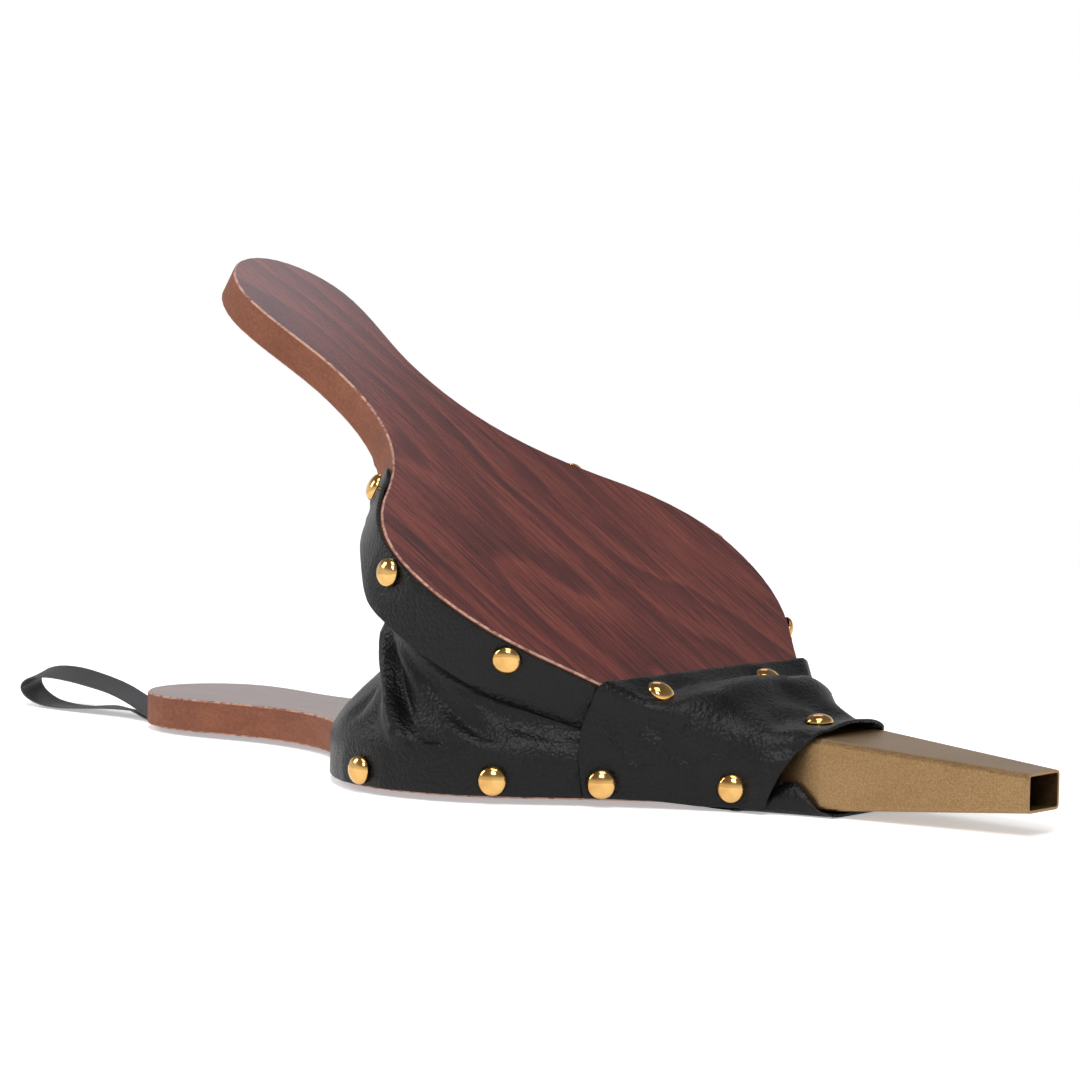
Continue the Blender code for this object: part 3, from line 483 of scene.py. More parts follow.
def leather(name, grain=1.2):
    """Black pebble-grained leather; grain is the size of its cells in millimetres."""
    base, rough = 0.0026, 0.42
    n = Nodes(name)
    point = n.object_point()
    drift = n.field(0.5, 2.0)
    shift = n.add("CombineXYZ", {0: drift, 1: drift, 2: drift}).outputs[0]
    warped = n.add("VectorMath", {0: point, 1: shift}, operation="ADD").outputs[0]
    cells = n.add("TexVoronoi", {"Vector": warped, "Scale": 1.0 / grain, "Randomness": 1.0,
                                 "Smoothness": 0.45}, feature="SMOOTH_F1")
    pebble = n.math("SUBTRACT", 1.0, cells.outputs["Distance"], clamp=True)
    fine = n.noise(point, 2.6, 3.0, 0.6)
    patches = n.field(0.045, 3.0, 0.6)
    shade = n.ramp(n.total((pebble, 0.55), (patches, 0.45)), (
        (0.25, (base * 0.45, base * 0.45, base * 0.47)),
        (0.70, (base * 1.25, base * 1.25, base * 1.30)),
    ))
    gloss = n.total((patches, 0.22), base=rough - 0.10)
    gloss = n.math("SUBTRACT", gloss, n.math("MULTIPLY", pebble, 0.06))
    n.set(Base_Color=shade, Roughness=gloss, Specular_IOR_Level=0.22)
    n.bump(n.total((pebble, 0.8), (fine, 0.25)), 0.32)
    return n.material


def brass():
    """Polished brass plate with faint brushing and a few darker patches."""
    n = Nodes("polished_brass")
    smudge = n.field(0.12, 3.0, 0.55)
    brushed = n.field((3.0, 3.0, 0.3), 3.0, 0.6)
    colour = n.ramp(smudge, (
        (0.30, (0.56, 0.300, 0.090)),
        (0.70, (0.73, 0.450, 0.160)),
    ))
    rough = n.total((smudge, 0.12), (brushed, 0.05), base=0.06)
    n.set(Base_Color=colour, Metallic=1.0, Roughness=rough)
    n.bump(brushed, 0.01, 0.15)
    return n.material


def bronze_paint():
    """Gold-bronze metallic paint: fine flakes over a cloudy, slightly pitted ground."""
    n = Nodes("bronze_metallic_paint")
    point = n.object_point()
    flakes = n.add("TexVoronoi", {"Vector": point, "Scale": 3.4})
    spark = n.add("SeparateXYZ", {0: flakes.outputs["Color"]}).outputs["X"]
    cloud = n.field(0.03, 3.0, 0.6)
    orange_peel = n.noise(point, 0.9, 2.0)
    paint = n.ramp(n.total((spark, 0.5), (cloud, 0.5)), (
        (0.20, (0.205, 0.120, 0.050)),
        (0.50, (0.270, 0.163, 0.072)),
        (0.85, (0.370, 0.240, 0.122)),
    ))
    n.set(Base_Color=paint, Metallic=0.95, Roughness=n.total((spark, 0.16), base=0.34))
    n.bump(n.total((orange_peel, 0.7), (spark, 0.3)), 0.05, 0.35)
    return n.material


def steel(name, colour=(0.42, 0.42, 0.43), rough=0.3):
    """Zinc-plated or bare spring steel with drawn lines and light smudges."""
    n = Nodes(name)
    lines = n.field((0.15, 4.0, 4.0), 3.0, 0.6)
    smudge = n.field(0.2, 3.0, 0.6)
    dark, light = tuple(c * 0.6 for c in colour), tuple(c * 1.3 for c in colour)
    n.set(Base_Color=n.ramp(smudge, ((0.3, dark), (0.7, light))), Metallic=1.0,
          Roughness=n.total((lines, 0.25), base=rough - 0.1))
    n.bump(lines, 0.01, 0.3)
    return n.material


def strap_material():
    """Dark grey coated strap: smooth skin with fine ribs across it."""
    n = Nodes("coated_strap")
    point = n.object_point()
    ribs = n.add("TexWave", {"Vector": point, "Scale": 0.42, "Distortion": 0.6, "Detail": 1.0},
                 wave_type="BANDS", bands_direction="X")
    grain = n.noise(point, 2.2, 3.0, 0.6)
    patches = n.field(0.08, 3.0, 0.6)
    shade = n.ramp(n.total((patches, 0.7), (grain, 0.3)), (
        (0.30, (0.020, 0.020, 0.021)),
        (0.70, (0.048, 0.048, 0.050)),
    ))
    n.set(Base_Color=shade, Roughness=n.total((patches, 0.2), base=0.42))
    n.bump(n.total((ribs.outputs["Fac"], 0.6), (grain, 0.4)), 0.08, 0.5)
    return n.material


def suede():
    """Brown suede of the valve: soft nap with sheen."""
    n = Nodes("valve_suede")
    nap = n.field(0.9, 6.0, 0.75)
    patches = n.field(0.07, 3.0, 0.6)
    shade = n.ramp(n.total((nap, 0.5), (patches, 0.5)), (
        (0.3, (0.085, 0.048, 0.028)),
        (0.7, (0.230, 0.145, 0.088)),
    ))
    n.set(Base_Color=shade, Roughness=0.95, Sheen_Weight=0.35, Sheen_Roughness=0.5)
    n.bump(nap, 0.15, 0.7)
    return n.material


# ---- gusset

SIDE_STEPS = 30
LOW_ROWS, WALL_ROWS, HIGH_ROWS = 6, 26, 7
FAR_MARGIN = 2.0  # the far side's band ends this much lower
EDGE_TURN, CORNER_TURN, TIP_TURN = 0.7, 0.9, 0.5  # leather clear of the wood where it turns
TALLEST = 78.0  # the wall's height from which it is drawn in fully
FULL_PULL = 19.0  # how far it is drawn in there

# Wall, low to high: (share of the height, share of the pull, more of it at the back)
WALL_PROFILE = (
    (0.14, 0.26, 0.0),
    (0.34, 0.74, 0.06),
    (0.58, 1.0, 0.14),
    (0.80, 0.96, 0.24),
    (0.93, 0.62, 0.26),
)

# Folds of the side walls: crest through (t, v) points, its width and its height
NEAR_FOLDS = (
    (((0.57, -0.05), (0.68, 0.28), (0.79, 0.60)), 0.034, 4.6),
    (((0.49, 0.0), (0.60, 0.28), (0.70, 0.62)), 0.045, -2.6),
    (((0.40, 0.05), (0.50, 0.35), (0.61, 0.64)), 0.036, 1.9),
    (((0.34, 0.10), (0.42, 0.35), (0.50, 0.62)), 0.034, -1.5),
    (((0.27, 0.10), (0.34, 0.40), (0.40, 0.64)), 0.036, 1.4),
    (((0.84, 0.10), (0.89, 0.45), (0.92, 0.72)), 0.050, -1.8),
    (((0.16, 0.2), (0.24, 0.7)), 0.03, 0.8),
)
FAR_FOLDS = (
    (((0.62, 0.0), (0.70, 0.3), (0.80, 0.6)), 0.036, 4.0),
    (((0.53, 0.0), (0.60, 0.3), (0.66, 0.6)), 0.040, -2.2),
    (((0.42, 0.05), (0.47, 0.35), (0.52, 0.6)), 0.036, 1.8),
    (((0.24, 0.1), (0.30, 0.5)), 0.034, 1.2),
)


# A column of the gusset: its key points low to high, its outward, downward and upward
# directions, and shares of the high band's flare and drop and of the wall's extra pull
Column = namedtuple(
    "Column", "foot low high head low_out high_out down rise flare drop inset",
    defaults=(0.0, 0.3, 1.0),
)
UP = np.array([0.0, 0.0, 1.0])


def tilt_direction(x, y, z):
    """A direction in the upper board's frame, turned to the part's frame."""
    return tilt(x, y, z) - tilt(0.0, 0.0, 0.0)


def side_frame(side, t):
    """The column at share t of a side, from the front."""
    low_d = FRONT + (BACK_LOWER - FRONT) * t
    high_d = FRONT + (SIDE_UPPER - FRONT) * t
    neck = 0.3 * step(125.0, 145.0, np.array([low_d, high_d]))
    low, low_out = edge(low_d, side, GAP + 0.1 + neck[0])
    high, high_out = edge(high_d, side, GAP + 0.1 + neck[1])
    return Column(
        foot=np.array([*low, LOWER_LOW + BAND_MARGIN]),
        low=np.array([*low, LOWER_TOP + EDGE_TURN]),
        high=tilt(*high, -THICKNESS - EDGE_TURN),
        head=tilt(*high, -BAND_MARGIN - (FAR_MARGIN if side > 0.0 else 0.0)),
        low_out=np.array([*low_out, 0.0]),
        high_out=tilt_direction(*high_out, 0.0),
        down=tilt_direction(0.0, 0.0, -1.0),
        rise=UP,
        flare=0.6 - 0.4 * step(0.60, 0.75, t),
        drop=1.0 - 0.85 * step(0.64, 0.80, t),
        inset=step(0.72, 0.96, t),
    )


def corner_frame(side):
    """The column that steps up from a board's edge onto the handle's face."""
    low, low_out = edge(BACK_LOWER + 5.0, side, -0.5)
    high, high_out = edge(BACK_UPPER + 1.0, side, -1.5)
    tip_low, _ = edge(BACK_LOWER + 9.0, side, -2.0)
    tip_high, _ = edge(BACK_UPPER + 3.0, side, -3.0)
    return Column(
        foot=np.array([*tip_low, LOWER_TOP + TIP_TURN]),
        low=np.array([*low, LOWER_TOP + CORNER_TURN]),
        high=tilt(*high, -THICKNESS - CORNER_TURN),
        head=tilt(*tip_high, -THICKNESS - TIP_TURN),
        low_out=np.array([*low_out, 0.2]),
        high_out=tilt_direction(*high_out, -0.2),
        down=tilt_direction(0.0, 0.0, -1.0),
        rise=UP,
    )


def back_frame(fraction):
    """A column where the gusset crosses both handles; fraction runs -1 to 1 across."""
    low_d, high_d = BACK_LOWER + 9.0, BACK_UPPER + 9.0
    low_y, high_y = (fraction * half_width(d)[0] for d in (low_d, high_d))
    return Column(
        foot=np.array([-low_d - FLANGE, low_y, LOWER_TOP + GAP]),
        low=np.array([-low_d, low_y, LOWER_TOP + GAP]),
        high=tilt(-high_d, high_y, -THICKNESS - GAP),
        head=tilt(-high_d - FLANGE, high_y, -THICKNESS - GAP),
        low_out=np.array([-1.0, 0.25 * fraction, 0.0]),
        high_out=np.array([-1.0, 0.25 * fraction, 0.0]),
        down=tilt_direction(0.3, 0.0, -1.0),
        rise=np.array([0.25, 0.0, 1.0]),
    )


def gusset_column(f):
    """Points of one column: low band, drawn-in wall, high band hanging past the board."""
    height = np.linalg.norm(f.high - f.low)
    full = min(1.0, height / TALLEST)
    low_drop = min(3.5, 0.15 * height)
    high_drop = min(7.0, 0.24 * height) * f.drop
    crease_low = f.low + f.rise * low_drop - f.low_out * 0.6 * full
    crease_high = f.high + f.down * high_drop + f.high_out * f.flare * full
    out = f.low_out + f.high_out
    out[2] = 0.0
    out /= np.linalg.norm(out)
    pull = FULL_PULL * full**1.4
    wall = []
    for v, depth, more in WALL_PROFILE:
        inwards = pull * (depth + more * f.inset)
        wall.append(crease_low + (crease_high - crease_low) * v - out * inwards)
    low_band = along([f.foot, f.low, crease_low], np.linspace(0.0, 1.0, LOW_ROWS))
    middle = along([crease_low, *wall, crease_high], np.linspace(0.0, 1.0, WALL_ROWS + 2))
    high_band = along([crease_high, f.high, f.head], np.linspace(0.0, 1.0, HIGH_ROWS))
    return np.vstack([low_band, middle[1:-1], high_band])


def gusset_grid():
    """Grid (rows, columns, 3) round the bellows, each column's place t, and its nearness.

    t is 0 to 1 along a side from the front, 1.04 at a corner, 1.1 to 1.4 across the back.
    """
    shares = [i / SIDE_STEPS for i in range(SIDE_STEPS + 1)]
    crossing = [-0.8, -0.5, -0.25, 0.0, 0.25, 0.5, 0.8]
    frames = [side_frame(-1.0, t) for t in shares] + [corner_frame(-1.0)]
    frames += [back_frame(f) for f in crossing] + [corner_frame(1.0)]
    frames += [side_frame(1.0, t) for t in reversed(shares)]
    back = [1.1 + 0.05 * i for i in range(len(crossing))]
    place = shares + [1.04] + back + [1.04] + shares[::-1]
    near = [1.0 if i < len(frames) / 2 else 0.0 for i in range(len(frames))]
    columns = np.array([gusset_column(f) for f in frames])
    packed = np.concatenate([
        columns.reshape(len(columns), -1),
        np.array(place)[:, None],
        np.array(near)[:, None],
    ], axis=1)
    fine = catmull_rom(packed, 4)
    points = fine[:, :-2].reshape(len(fine), -1, 3).transpose(1, 0, 2)
    return points, fine[:, -2], fine[:, -1]


def ridge(t, v, path, width, height):
    """Height field of a fold whose crest runs through (t, v) points."""
    path = np.array(path, float)
    crest = np.interp(v, path[:, 1], path[:, 0])
    ends = step(path[0, 1] - 0.10, path[0, 1] + 0.06, v)
    ends = ends * (1.0 - step(path[-1, 1] - 0.06, path[-1, 1] + 0.10, v))
    return height * bump(t, crest, width) * ends


def gusset_folds(t, v, near):
    """Outward folds of the wall over (t, v); the near side has its own set."""
    seen = sum(ridge(t, v, *fold) for fold in NEAR_FOLDS)
    other = sum(ridge(t, v, *fold) for fold in FAR_FOLDS)
    back = 3.0 * bump(t, 1.17, 0.022) + 3.0 * bump(t, 1.33, 0.022) - 2.0 * bump(t, 1.25, 0.04)
    back = back * step(0.05, 0.4, v) * (1.0 - step(0.6, 0.95, v)) * (t > 1.05)
    return np.where(near > 0.5, seen, other) * (t < 1.05) + back


def grid_normals(grid):
    """Unit normals of a grid of points."""
    down = np.gradient(grid, axis=0)
    across = np.gradient(grid, axis=1)
    normal = np.cross(across, down)
    return normal / np.maximum(np.linalg.norm(normal, axis=2, keepdims=True), 1e-9)


def make_gusset(material):
    """The folded skirt between the boards, with its bands round both edges."""
    points, place, near = gusset_grid()
    rows, columns = points.shape[:2]
    v = np.clip((np.arange(rows) - LOW_ROWS + 1) / (WALL_ROWS + 1), 0.0, 1.0)
    inside = (v > 0.0) & (v < 1.0)
    normal = grid_normals(points)
    centre = np.array([-80.0, 0.0, 40.0])
    if ((points - centre) * normal).sum() < 0.0:
        normal = -normal
    lift = gusset_folds(place[None, :], v[:, None], near[None, :])
    height = np.linalg.norm(points[-HIGH_ROWS] - points[LOW_ROWS - 1], axis=1)
    lift = lift * np.minimum(1.0, height / 55.0)[None, :] * inside[:, None]
    points = points + normal * lift[:, :, None]
    obj = grid_object("gusset_leather", points, material)
    free = np.repeat(inside, columns)
    crease = np.repeat(np.maximum(step(0.86, 0.97, v), 1.0 - step(0.02, 0.12, v)), columns)
    pins = np.where(free, 0.9 * crease, 1.0)
    cap = np.tile(0.05 + 2.8 * np.minimum(1.0, height / 65.0) ** 3, rows)
    settle(obj, (rows, columns), pins, slack=0.022, frames=14, cap=cap)
    nails = [n for n in NODES if n.startswith(("lower_nail", "upper_nail")) and n[-1] in "abc"]
    pressed = press_round_nails(coordinates(obj), nails)
    set_coordinates(obj, keep_between_boards(pressed, free))
    make_outward(obj, centre)
    thicken(obj, LEATHER)
    finish_mesh(obj)
    hinge_blend(obj, opening_share(coordinates(obj)))
    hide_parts("gusset")


def keep_between_boards(points, free):
    """Lifts leather that sank into the lower board and lowers it off the upper one."""
    clear = 0.5
    low = LOWER_TOP + clear
    local_x, height = along_upper(points[:, 0], points[:, 2])
    inner = free & (height < -2.0) & (local_x < -20.0)
    over = np.maximum(height + THICKNESS + clear, 0.0) * inner
    points = points.copy()
    points[:, 0] -= over * math.sin(OPEN_ANGLE)
    points[:, 2] -= over * math.cos(OPEN_ANGLE)
    sunk = free & (points[:, 2] < low)
    points[sunk, 2] = low
    return points


def make_outward(obj, centre):
    """Turns all faces so that their normals point away from a centre."""
    mesh = obj.data
    mesh.update()
    total = sum((Vector(centre) * MM - f.center).dot(f.normal) * f.area for f in mesh.polygons)
    if total > 0.0:
        mesh.flip_normals()


def opening_share(points):
    """0 on the lower board, 1 on the upper one, by angle round the hinge between them."""
    x, z = points[:, 0], points[:, 2] - HINGE_Z
    radius = np.maximum(np.hypot(x, z), THICKNESS)
    angle = np.arctan2(z, -x)
    low = -np.arcsin(THICKNESS / radius)
    return np.clip((angle - low) / OPEN_ANGLE, 0.0, 1.0)


def hinge_blend(obj, share):
    """Bakes a finished piece's placement into its mesh; the share given for each point is not
    used.
    """
    obj.data.transform(obj.matrix_world)
    obj.matrix_world = Matrix.Identity(4)
    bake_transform(obj)


# ---- nose wrap

WRAP_SPAN, WRAP_POINTS = 44, 97

# Side creases on the wrap: (leaning x, width, height, middle z, z spread)
SIDE_CREASES = (
    (-19.0, 2.6, 0.9, 22.0, 7.0),
    (-13.5, 3.0, -0.5, 20.0, 7.0),
    (-7.0, 3.4, 1.0, 20.0, 8.0),
    (0.5, 3.2, -0.5, 17.0, 7.0),
    (7.5, 3.0, 0.8, 16.0, 6.0),
)


def wrap_side_width(x, z):
    """Inner half width of the wrap over the gusset, the block and the nozzle."""
    widest = half_width(-x)[0]
    if x < 0.0:
        widest = max(widest, half_width(-along_upper(x, z)[0])[0])
    over_gusset, over_block = 2.4, 1.6
    clearance = over_gusset + (over_block - over_gusset) * step(-7.0, 2.0, x)
    nozzle = NOZZLE_HALF + 1.2
    turn = step(22.0, 35.0, x)
    return (widest + clearance) * (1.0 - turn) + nozzle * turn


def wrap_ridge_height(x):
    """Height of the leather's underside along its middle: it bridges the hinge's hollow."""
    board = HINGE_Z + max(0.0, -x) * math.tan(OPEN_ANGLE) + 0.55
    bridge = np.interp(x, (-22.0, -15.0, 26.0), (board, 36.2, NOZZLE_TOP + 0.9))
    return max(board, bridge)


def wrap_column(s):
    """Cross line of the wrap at share s from its back edge to its front edge."""
    climbs = (0.0, 0.16, 0.36, 0.58, 0.80, 1.0)
    front = (24.5, 25.5, 28.0, 30.5, 34.0, 38.0)
    back = (-27.5, -28.4, -29.0, -28.0, -25.5, -22.0)
    half = []
    for climb, x1, x0 in zip(climbs, front, back):
        x = x0 + (x1 - x0) * s
        top = wrap_ridge_height(x)
        foot = LOWER_LOW + BAND_MARGIN - 1.3 * step(-12.0, 6.0, x)
        z = foot + (top - foot) * climb
        width = wrap_side_width(x, z)
        shoulder = 2.6 * step(0.8, 1.0, climb) * step(-3.0, 6.0, x)
        shoulder *= 1.0 - step(20.0, 34.0, x)
        stand_off = 3.2 * bump(climb, 0.45, 0.30) * step(0.80, 1.0, s)
        z -= 1.6 * step(0.7, 1.0, climb) * step(-20.0, -4.0, x)
        half.append((x, -(width - shoulder + stand_off), z))
    x = half[-1][0]
    top = wrap_ridge_height(x)
    edge_y = -half[-1][1]
    for across in (0.80, 0.5, 0.0):
        crown = top + 0.4 * (1.0 - across)
        half.append((x, -edge_y * across, crown))
    half = np.array(half)
    mirrored = half[:-1][::-1] * np.array([1.0, -1.0, 1.0])
    return np.vstack([half, mirrored])


def wrap_relief(points):
    """Ridges and hollows of the wrap, as an outward height at each point."""
    x, y, z = points[..., 0], points[..., 1], points[..., 2]
    top = step(16.0, 27.0, z)
    crest = -1.5 + 1.5 * (y / 35.0) ** 2
    lift = 5.6 * bump(x, crest, 8.5) * (1.0 - 0.75 * np.abs(y / 40.0) ** 3) * top
    lift -= 0.8 * bump(x, -12.5, 3.6) * (0.35 + bump(y, -27.0, 10.0) + bump(y, 27.0, 10.0)) * top
    lift += 1.0 * bump(x, 13.0, 6.0) * bump(y, 0.0, 14.0) * top
    lift -= 0.7 * bump(x, 20.0, 5.0) * (bump(y, -13.0, 6.0) + bump(y, 13.0, 6.0)) * top
    for side, seed in ((-1.0, 0.0), (1.0, 1.7)):
        here = np.clip(y * side / 6.0, 0.0, 1.0) * (1.0 - step(26.0, 34.0, z))
        lean = x + 0.55 * (z - 16.0)
        creases = sum(rise * bump(lean, middle + seed, width) * bump(z, level, spread)
                      for middle, width, rise, level, spread in SIDE_CREASES)
        lift = lift + here * (creases + 0.4 * bump(z, 14.0 + 0.15 * x, 2.6))
    return lift


def keep_off_wood(points, clear=0.35):
    """Moves leather that sank into the boards, the block or the nozzle back outside."""
    points = points.copy()
    for i, (x, y, z) in enumerate(points):
        side = -1.0 if y < 0.0 else 1.0
        if x < NOZZLE_START:
            half = half_width(-x)[0]
            ceiling = HINGE_Z if x > 0.0 else LOWER_TOP
        else:
            half, ceiling = NOZZLE_HALF, NOZZLE_TOP
        push_out = half + clear - side * y
        push_up = ceiling + clear - z
        if push_out > 0.0 and push_up > 0.0:
            if push_out < push_up:
                points[i, 1] += side * push_out
            else:
                points[i, 2] += push_up
        lengthwise, height = along_upper(points[i, 0], points[i, 2])
        if lengthwise < 0.0 and -THICKNESS < height < clear:
            push_out = half_width(-lengthwise)[0] + clear - side * points[i, 1]
            if 0.0 < push_out < clear - height:
                points[i, 1] += side * push_out
            elif push_out > 0.0:
                points[i, 0] += (clear - height) * math.sin(OPEN_ANGLE)
                points[i, 2] += (clear - height) * math.cos(OPEN_ANGLE)
    return points


def make_nose_wrap(material):
    """The leather over the hinge, the nose block and the nozzle's root."""
    shares = np.linspace(0.0, 1.0, WRAP_POINTS)
    grid = np.array([along(wrap_column(i / WRAP_SPAN), shares) for i in range(WRAP_SPAN + 1)])
    normal = grid_normals(grid)
    if (normal[:, :, 2] * (grid[:, :, 2] - 15.0)).sum() < 0.0:
        normal = -normal
    grid = grid + normal * wrap_relief(grid)[:, :, None]
    lip = step(33.0, 38.0, grid[:, :, 0]) * step(22.0, 26.0, grid[:, :, 2])
    grid[:, :, 2] += 1.6 * lip * (0.4 + 0.6 * np.cos(grid[:, :, 1] * 0.13 - 0.8))
    obj = grid_object("nose_wrap_leather", grid, material)
    rim = np.zeros(grid.shape[:2])
    rim[0, :] = rim[-1, :] = rim[:, 0] = rim[:, -1] = 1.0
    pins = np.maximum(rim, np.where(grid[:, :, 2] < 12.0, 1.0, 0.0)).ravel()
    nails = ["lower_nail_right_c", "lower_nail_left_c", "lower_nail_right_d",
             "lower_nail_left_d", "nose_nail", "wrap_nail_right", "wrap_nail_left"]
    for node in nails:
        away = np.linalg.norm(grid.reshape(-1, 3) - nail_axis(node)[0], axis=1)
        pins = np.maximum(pins, np.where(away < 8.0, 1.0, 0.0))
    settle(obj, grid.shape[:2], pins, slack=0.016, frames=12, cap=1.4, gravity=0.0)
    pressed = press_round_nails(coordinates(obj), nails, depth=0.8)
    set_coordinates(obj, keep_off_wood(pressed))
    make_outward(obj, (0.0, 0.0, 15.0))
    thicken(obj, LEATHER)
    finish_mesh(obj)
    points = coordinates(obj)
    share = opening_share(points) * (1.0 - step(-15.0, 9.0, points[:, 0]))
    hinge_blend(obj, share)
    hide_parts("nose_wrap")


# ---- under wrap

PAD_POINTS = 73
PAD_STATIONS = (
    # x, half width of the flat part, outer half width, lip height, lip half width
    (-12.0, 17.0, 20.0, 0.7, 20.0),
    (-8.0, 22.5, 26.5, 0.7, 27.0),
    (0.0, 25.0, 29.5, 0.7, 30.0),
    (12.0, 25.0, 30.0, 0.8, 30.3),
    (19.0, 24.0, 28.5, 2.4, 27.0),
    (25.0, 22.5, 26.0, 8.6, 20.6),
    (31.0, 20.5, 23.6, 10.6, 20.4),
    (36.0, 19.2, 21.6, 7.4, 20.2),
    (41.0, 17.6, 19.8, 2.6, 20.0),
    (46.0, 15.0, 17.5, 0.8, 18.0),
)


def make_under_wrap(material):
    """Second leather under the nose, folded up the nozzle's sides in a soft pleat."""
    stations = catmull_rom(PAD_STATIONS, 6)
    grid = []
    for x, flat, outer, lip_z, lip_y in stations:
        middle = (outer + lip_y) / 2 + 0.6
        half = [(0.0, 0.05), (flat * 0.5, 0.05), (flat, 0.1), (outer, 0.1 + lip_z * 0.38)]
        half += [(middle, lip_z * 0.8), (lip_y, lip_z)]
        line = [(x, -y, z) for y, z in half[::-1]] + [(x, y, z) for y, z in half[1:]]
        grid.append(along(line, np.linspace(0.0, 1.0, PAD_POINTS)))
    grid = np.array(grid)
    grid[:, :, 2] = np.maximum(grid[:, :, 2], 0.05)
    obj = grid_object("under_wrap_leather", grid, material)
    make_outward(obj, (15.0, 0.0, 60.0))
    thicken(obj, UNDER_LEATHER, INWARDS)
    finish_mesh(obj)
    points = coordinates(obj)
    points[:, 2] = np.maximum(points[:, 2], 0.0)
    set_coordinates(obj, points)
    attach(obj, "lower")
    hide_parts("under_wrap")


# ---- nails

def dome_mesh(name, shank, material, segments=48):
    """Dome nail, its apex at the origin and its shank along -Z."""
    profile = []
    rim, rings = -HEAD_HEIGHT, 16
    for i in range(1, rings + 1):
        angle = math.radians(90.0) * i / rings
        profile.append((HEAD_RADIUS * math.sin(angle), (rim + 0.25) * (1.0 - math.cos(angle))))
    profile += [(HEAD_RADIUS - 0.08, rim + 0.08), (HEAD_RADIUS - 0.35, rim)]
    neck, tip, taper = 0.8, 0.12, 3.0
    profile += [(neck, rim), (neck, rim - shank + taper), (tip, rim - shank)]
    points = [(0.0, 0.0, 0.0)]
    for radius, z in profile:
        for k in range(segments):
            angle = 2.0 * math.pi * k / segments
            points.append((radius * math.cos(angle), radius * math.sin(angle), z))
    faces = [(0, 1 + k, 1 + (k + 1) % segments) for k in range(segments)]
    for r in range(len(profile) - 1):
        a = 1 + r * segments
        for k in range(segments):
            j = (k + 1) % segments
            faces.append((a + k, a + segments + k, a + segments + j, a + j))
    last = 1 + (len(profile) - 1) * segments
    faces.append(tuple(last + k for k in reversed(range(segments))))
    template = mesh_object(name, points, faces, material)
    finish_mesh(template)
    mesh = template.data
    bpy.data.objects.remove(template)
    return mesh


def make_nails(material):
    """A dome nail in the place of each CAD one; the nose's nail is shorter."""
    full = dome_mesh("dome_nail", 11.0, material)
    short = dome_mesh("dome_nail_short", 6.8, material)
    for node in sorted(NODES):
        if node.startswith(("lower_nail", "upper_nail", "wrap_nail", "nose_nail")):
            top, out = nail_axis(node)
            obj = add_object("dome_" + node, short if node == "nose_nail" else full)
            turn = Vector(out).to_track_quat("Z", "X").to_matrix().to_4x4()
            obj.matrix_world = Matrix.Translation(Vector(top) * MM) @ turn
            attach(obj, "lower" if node.startswith(("lower", "nose")) else "upper")
            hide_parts(node)


# ---- strap, valve, spring

def make_strap(material):
    """Flat strap folded into a teardrop loop."""
    route = catmull_rom(STRAP_ROUTE, 6)
    rows = []
    for x, z, roll, shift in route:
        angle = math.radians(roll)
        wide = np.array([shift / STRAP_WIDTH, math.cos(angle), math.sin(angle)])
        wide /= np.linalg.norm(wide)
        centre = np.array([STRAP_PIVOT_X + x, 0.0, z])
        cup = 0.25 * step(8.0, 30.0, -x)
        rows.append([
            centre + wide * STRAP_WIDTH / 2 * share + np.array([0.0, 0.0, cup * share**2])
            for share in np.linspace(-1.0, 1.0, 11)
        ])
    obj = grid_object("strap_band", np.array(rows), material)
    thicken(obj, STRAP_THICKNESS, CENTRED, edge_round=0.18)
    points = coordinates(obj)
    points[:, 2] = np.maximum(points[:, 2], 0.02)
    set_coordinates(obj, points)
    finish_mesh(obj)
    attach(obj, "strap")
    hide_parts("strap_loop")


def rounded_slab(name, outline, low, high, material):
    """Flat leather piece with rounded edges, from a plan outline."""
    size = len(outline)
    rings = [[(x, y, z) for x, y in outline] for z in (low, high)]
    faces = [(i, (i + 1) % size, size + (i + 1) % size, size + i) for i in range(size)]
    faces += [tuple(reversed(range(size))), tuple(range(size, 2 * size))]
    obj = mesh_object(name, rings[0] + rings[1], faces, material)
    round_edges(obj, min(0.45, (high - low) * 0.35), 50.0, segments=3)
    bake(obj)
    finish_mesh(obj, 40.0)
    return obj


def plan_corners(low, high, radii, steps=7):
    """Plan rectangle between two corners, with a radius at each of its four corners."""
    corners = (
        (low[0], low[1], 180), (high[0], low[1], 270),
        (high[0], high[1], 0), (low[0], high[1], 90),
    )
    outline = []
    for (x, y, start), radius in zip(corners, radii):
        cx = x + radius * (1 if x == low[0] else -1)
        cy = y + radius * (1 if y == low[1] else -1)
        for i in range(steps + 1):
            angle = math.radians(start + 90.0 * i / steps)
            outline.append((cx + radius * math.cos(angle), cy + radius * math.sin(angle)))
    return outline


def make_flat_leathers(suede_material, strap_look):
    """The valve's flap and its fixed end, and the strap's ends under the handle."""
    for node, body, slot, radii, look in (
        ("valve_flap", "valve", "valve_leather", (0.4, 8.0, 8.0, 0.4), suede_material),
        ("valve_tab", "lower", "valve_leather", (1.5, 0.4, 0.4, 1.5), suede_material),
        ("strap_tab", "lower", "strap", (0.4, 1.5, 1.5, 0.4), strap_look),
    ):
        low, high = node_box(node)
        obj = rounded_slab(node + "_leather", plan_corners(low, high, radii), low.z, high.z, look)
        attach(obj, body)
        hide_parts(node)


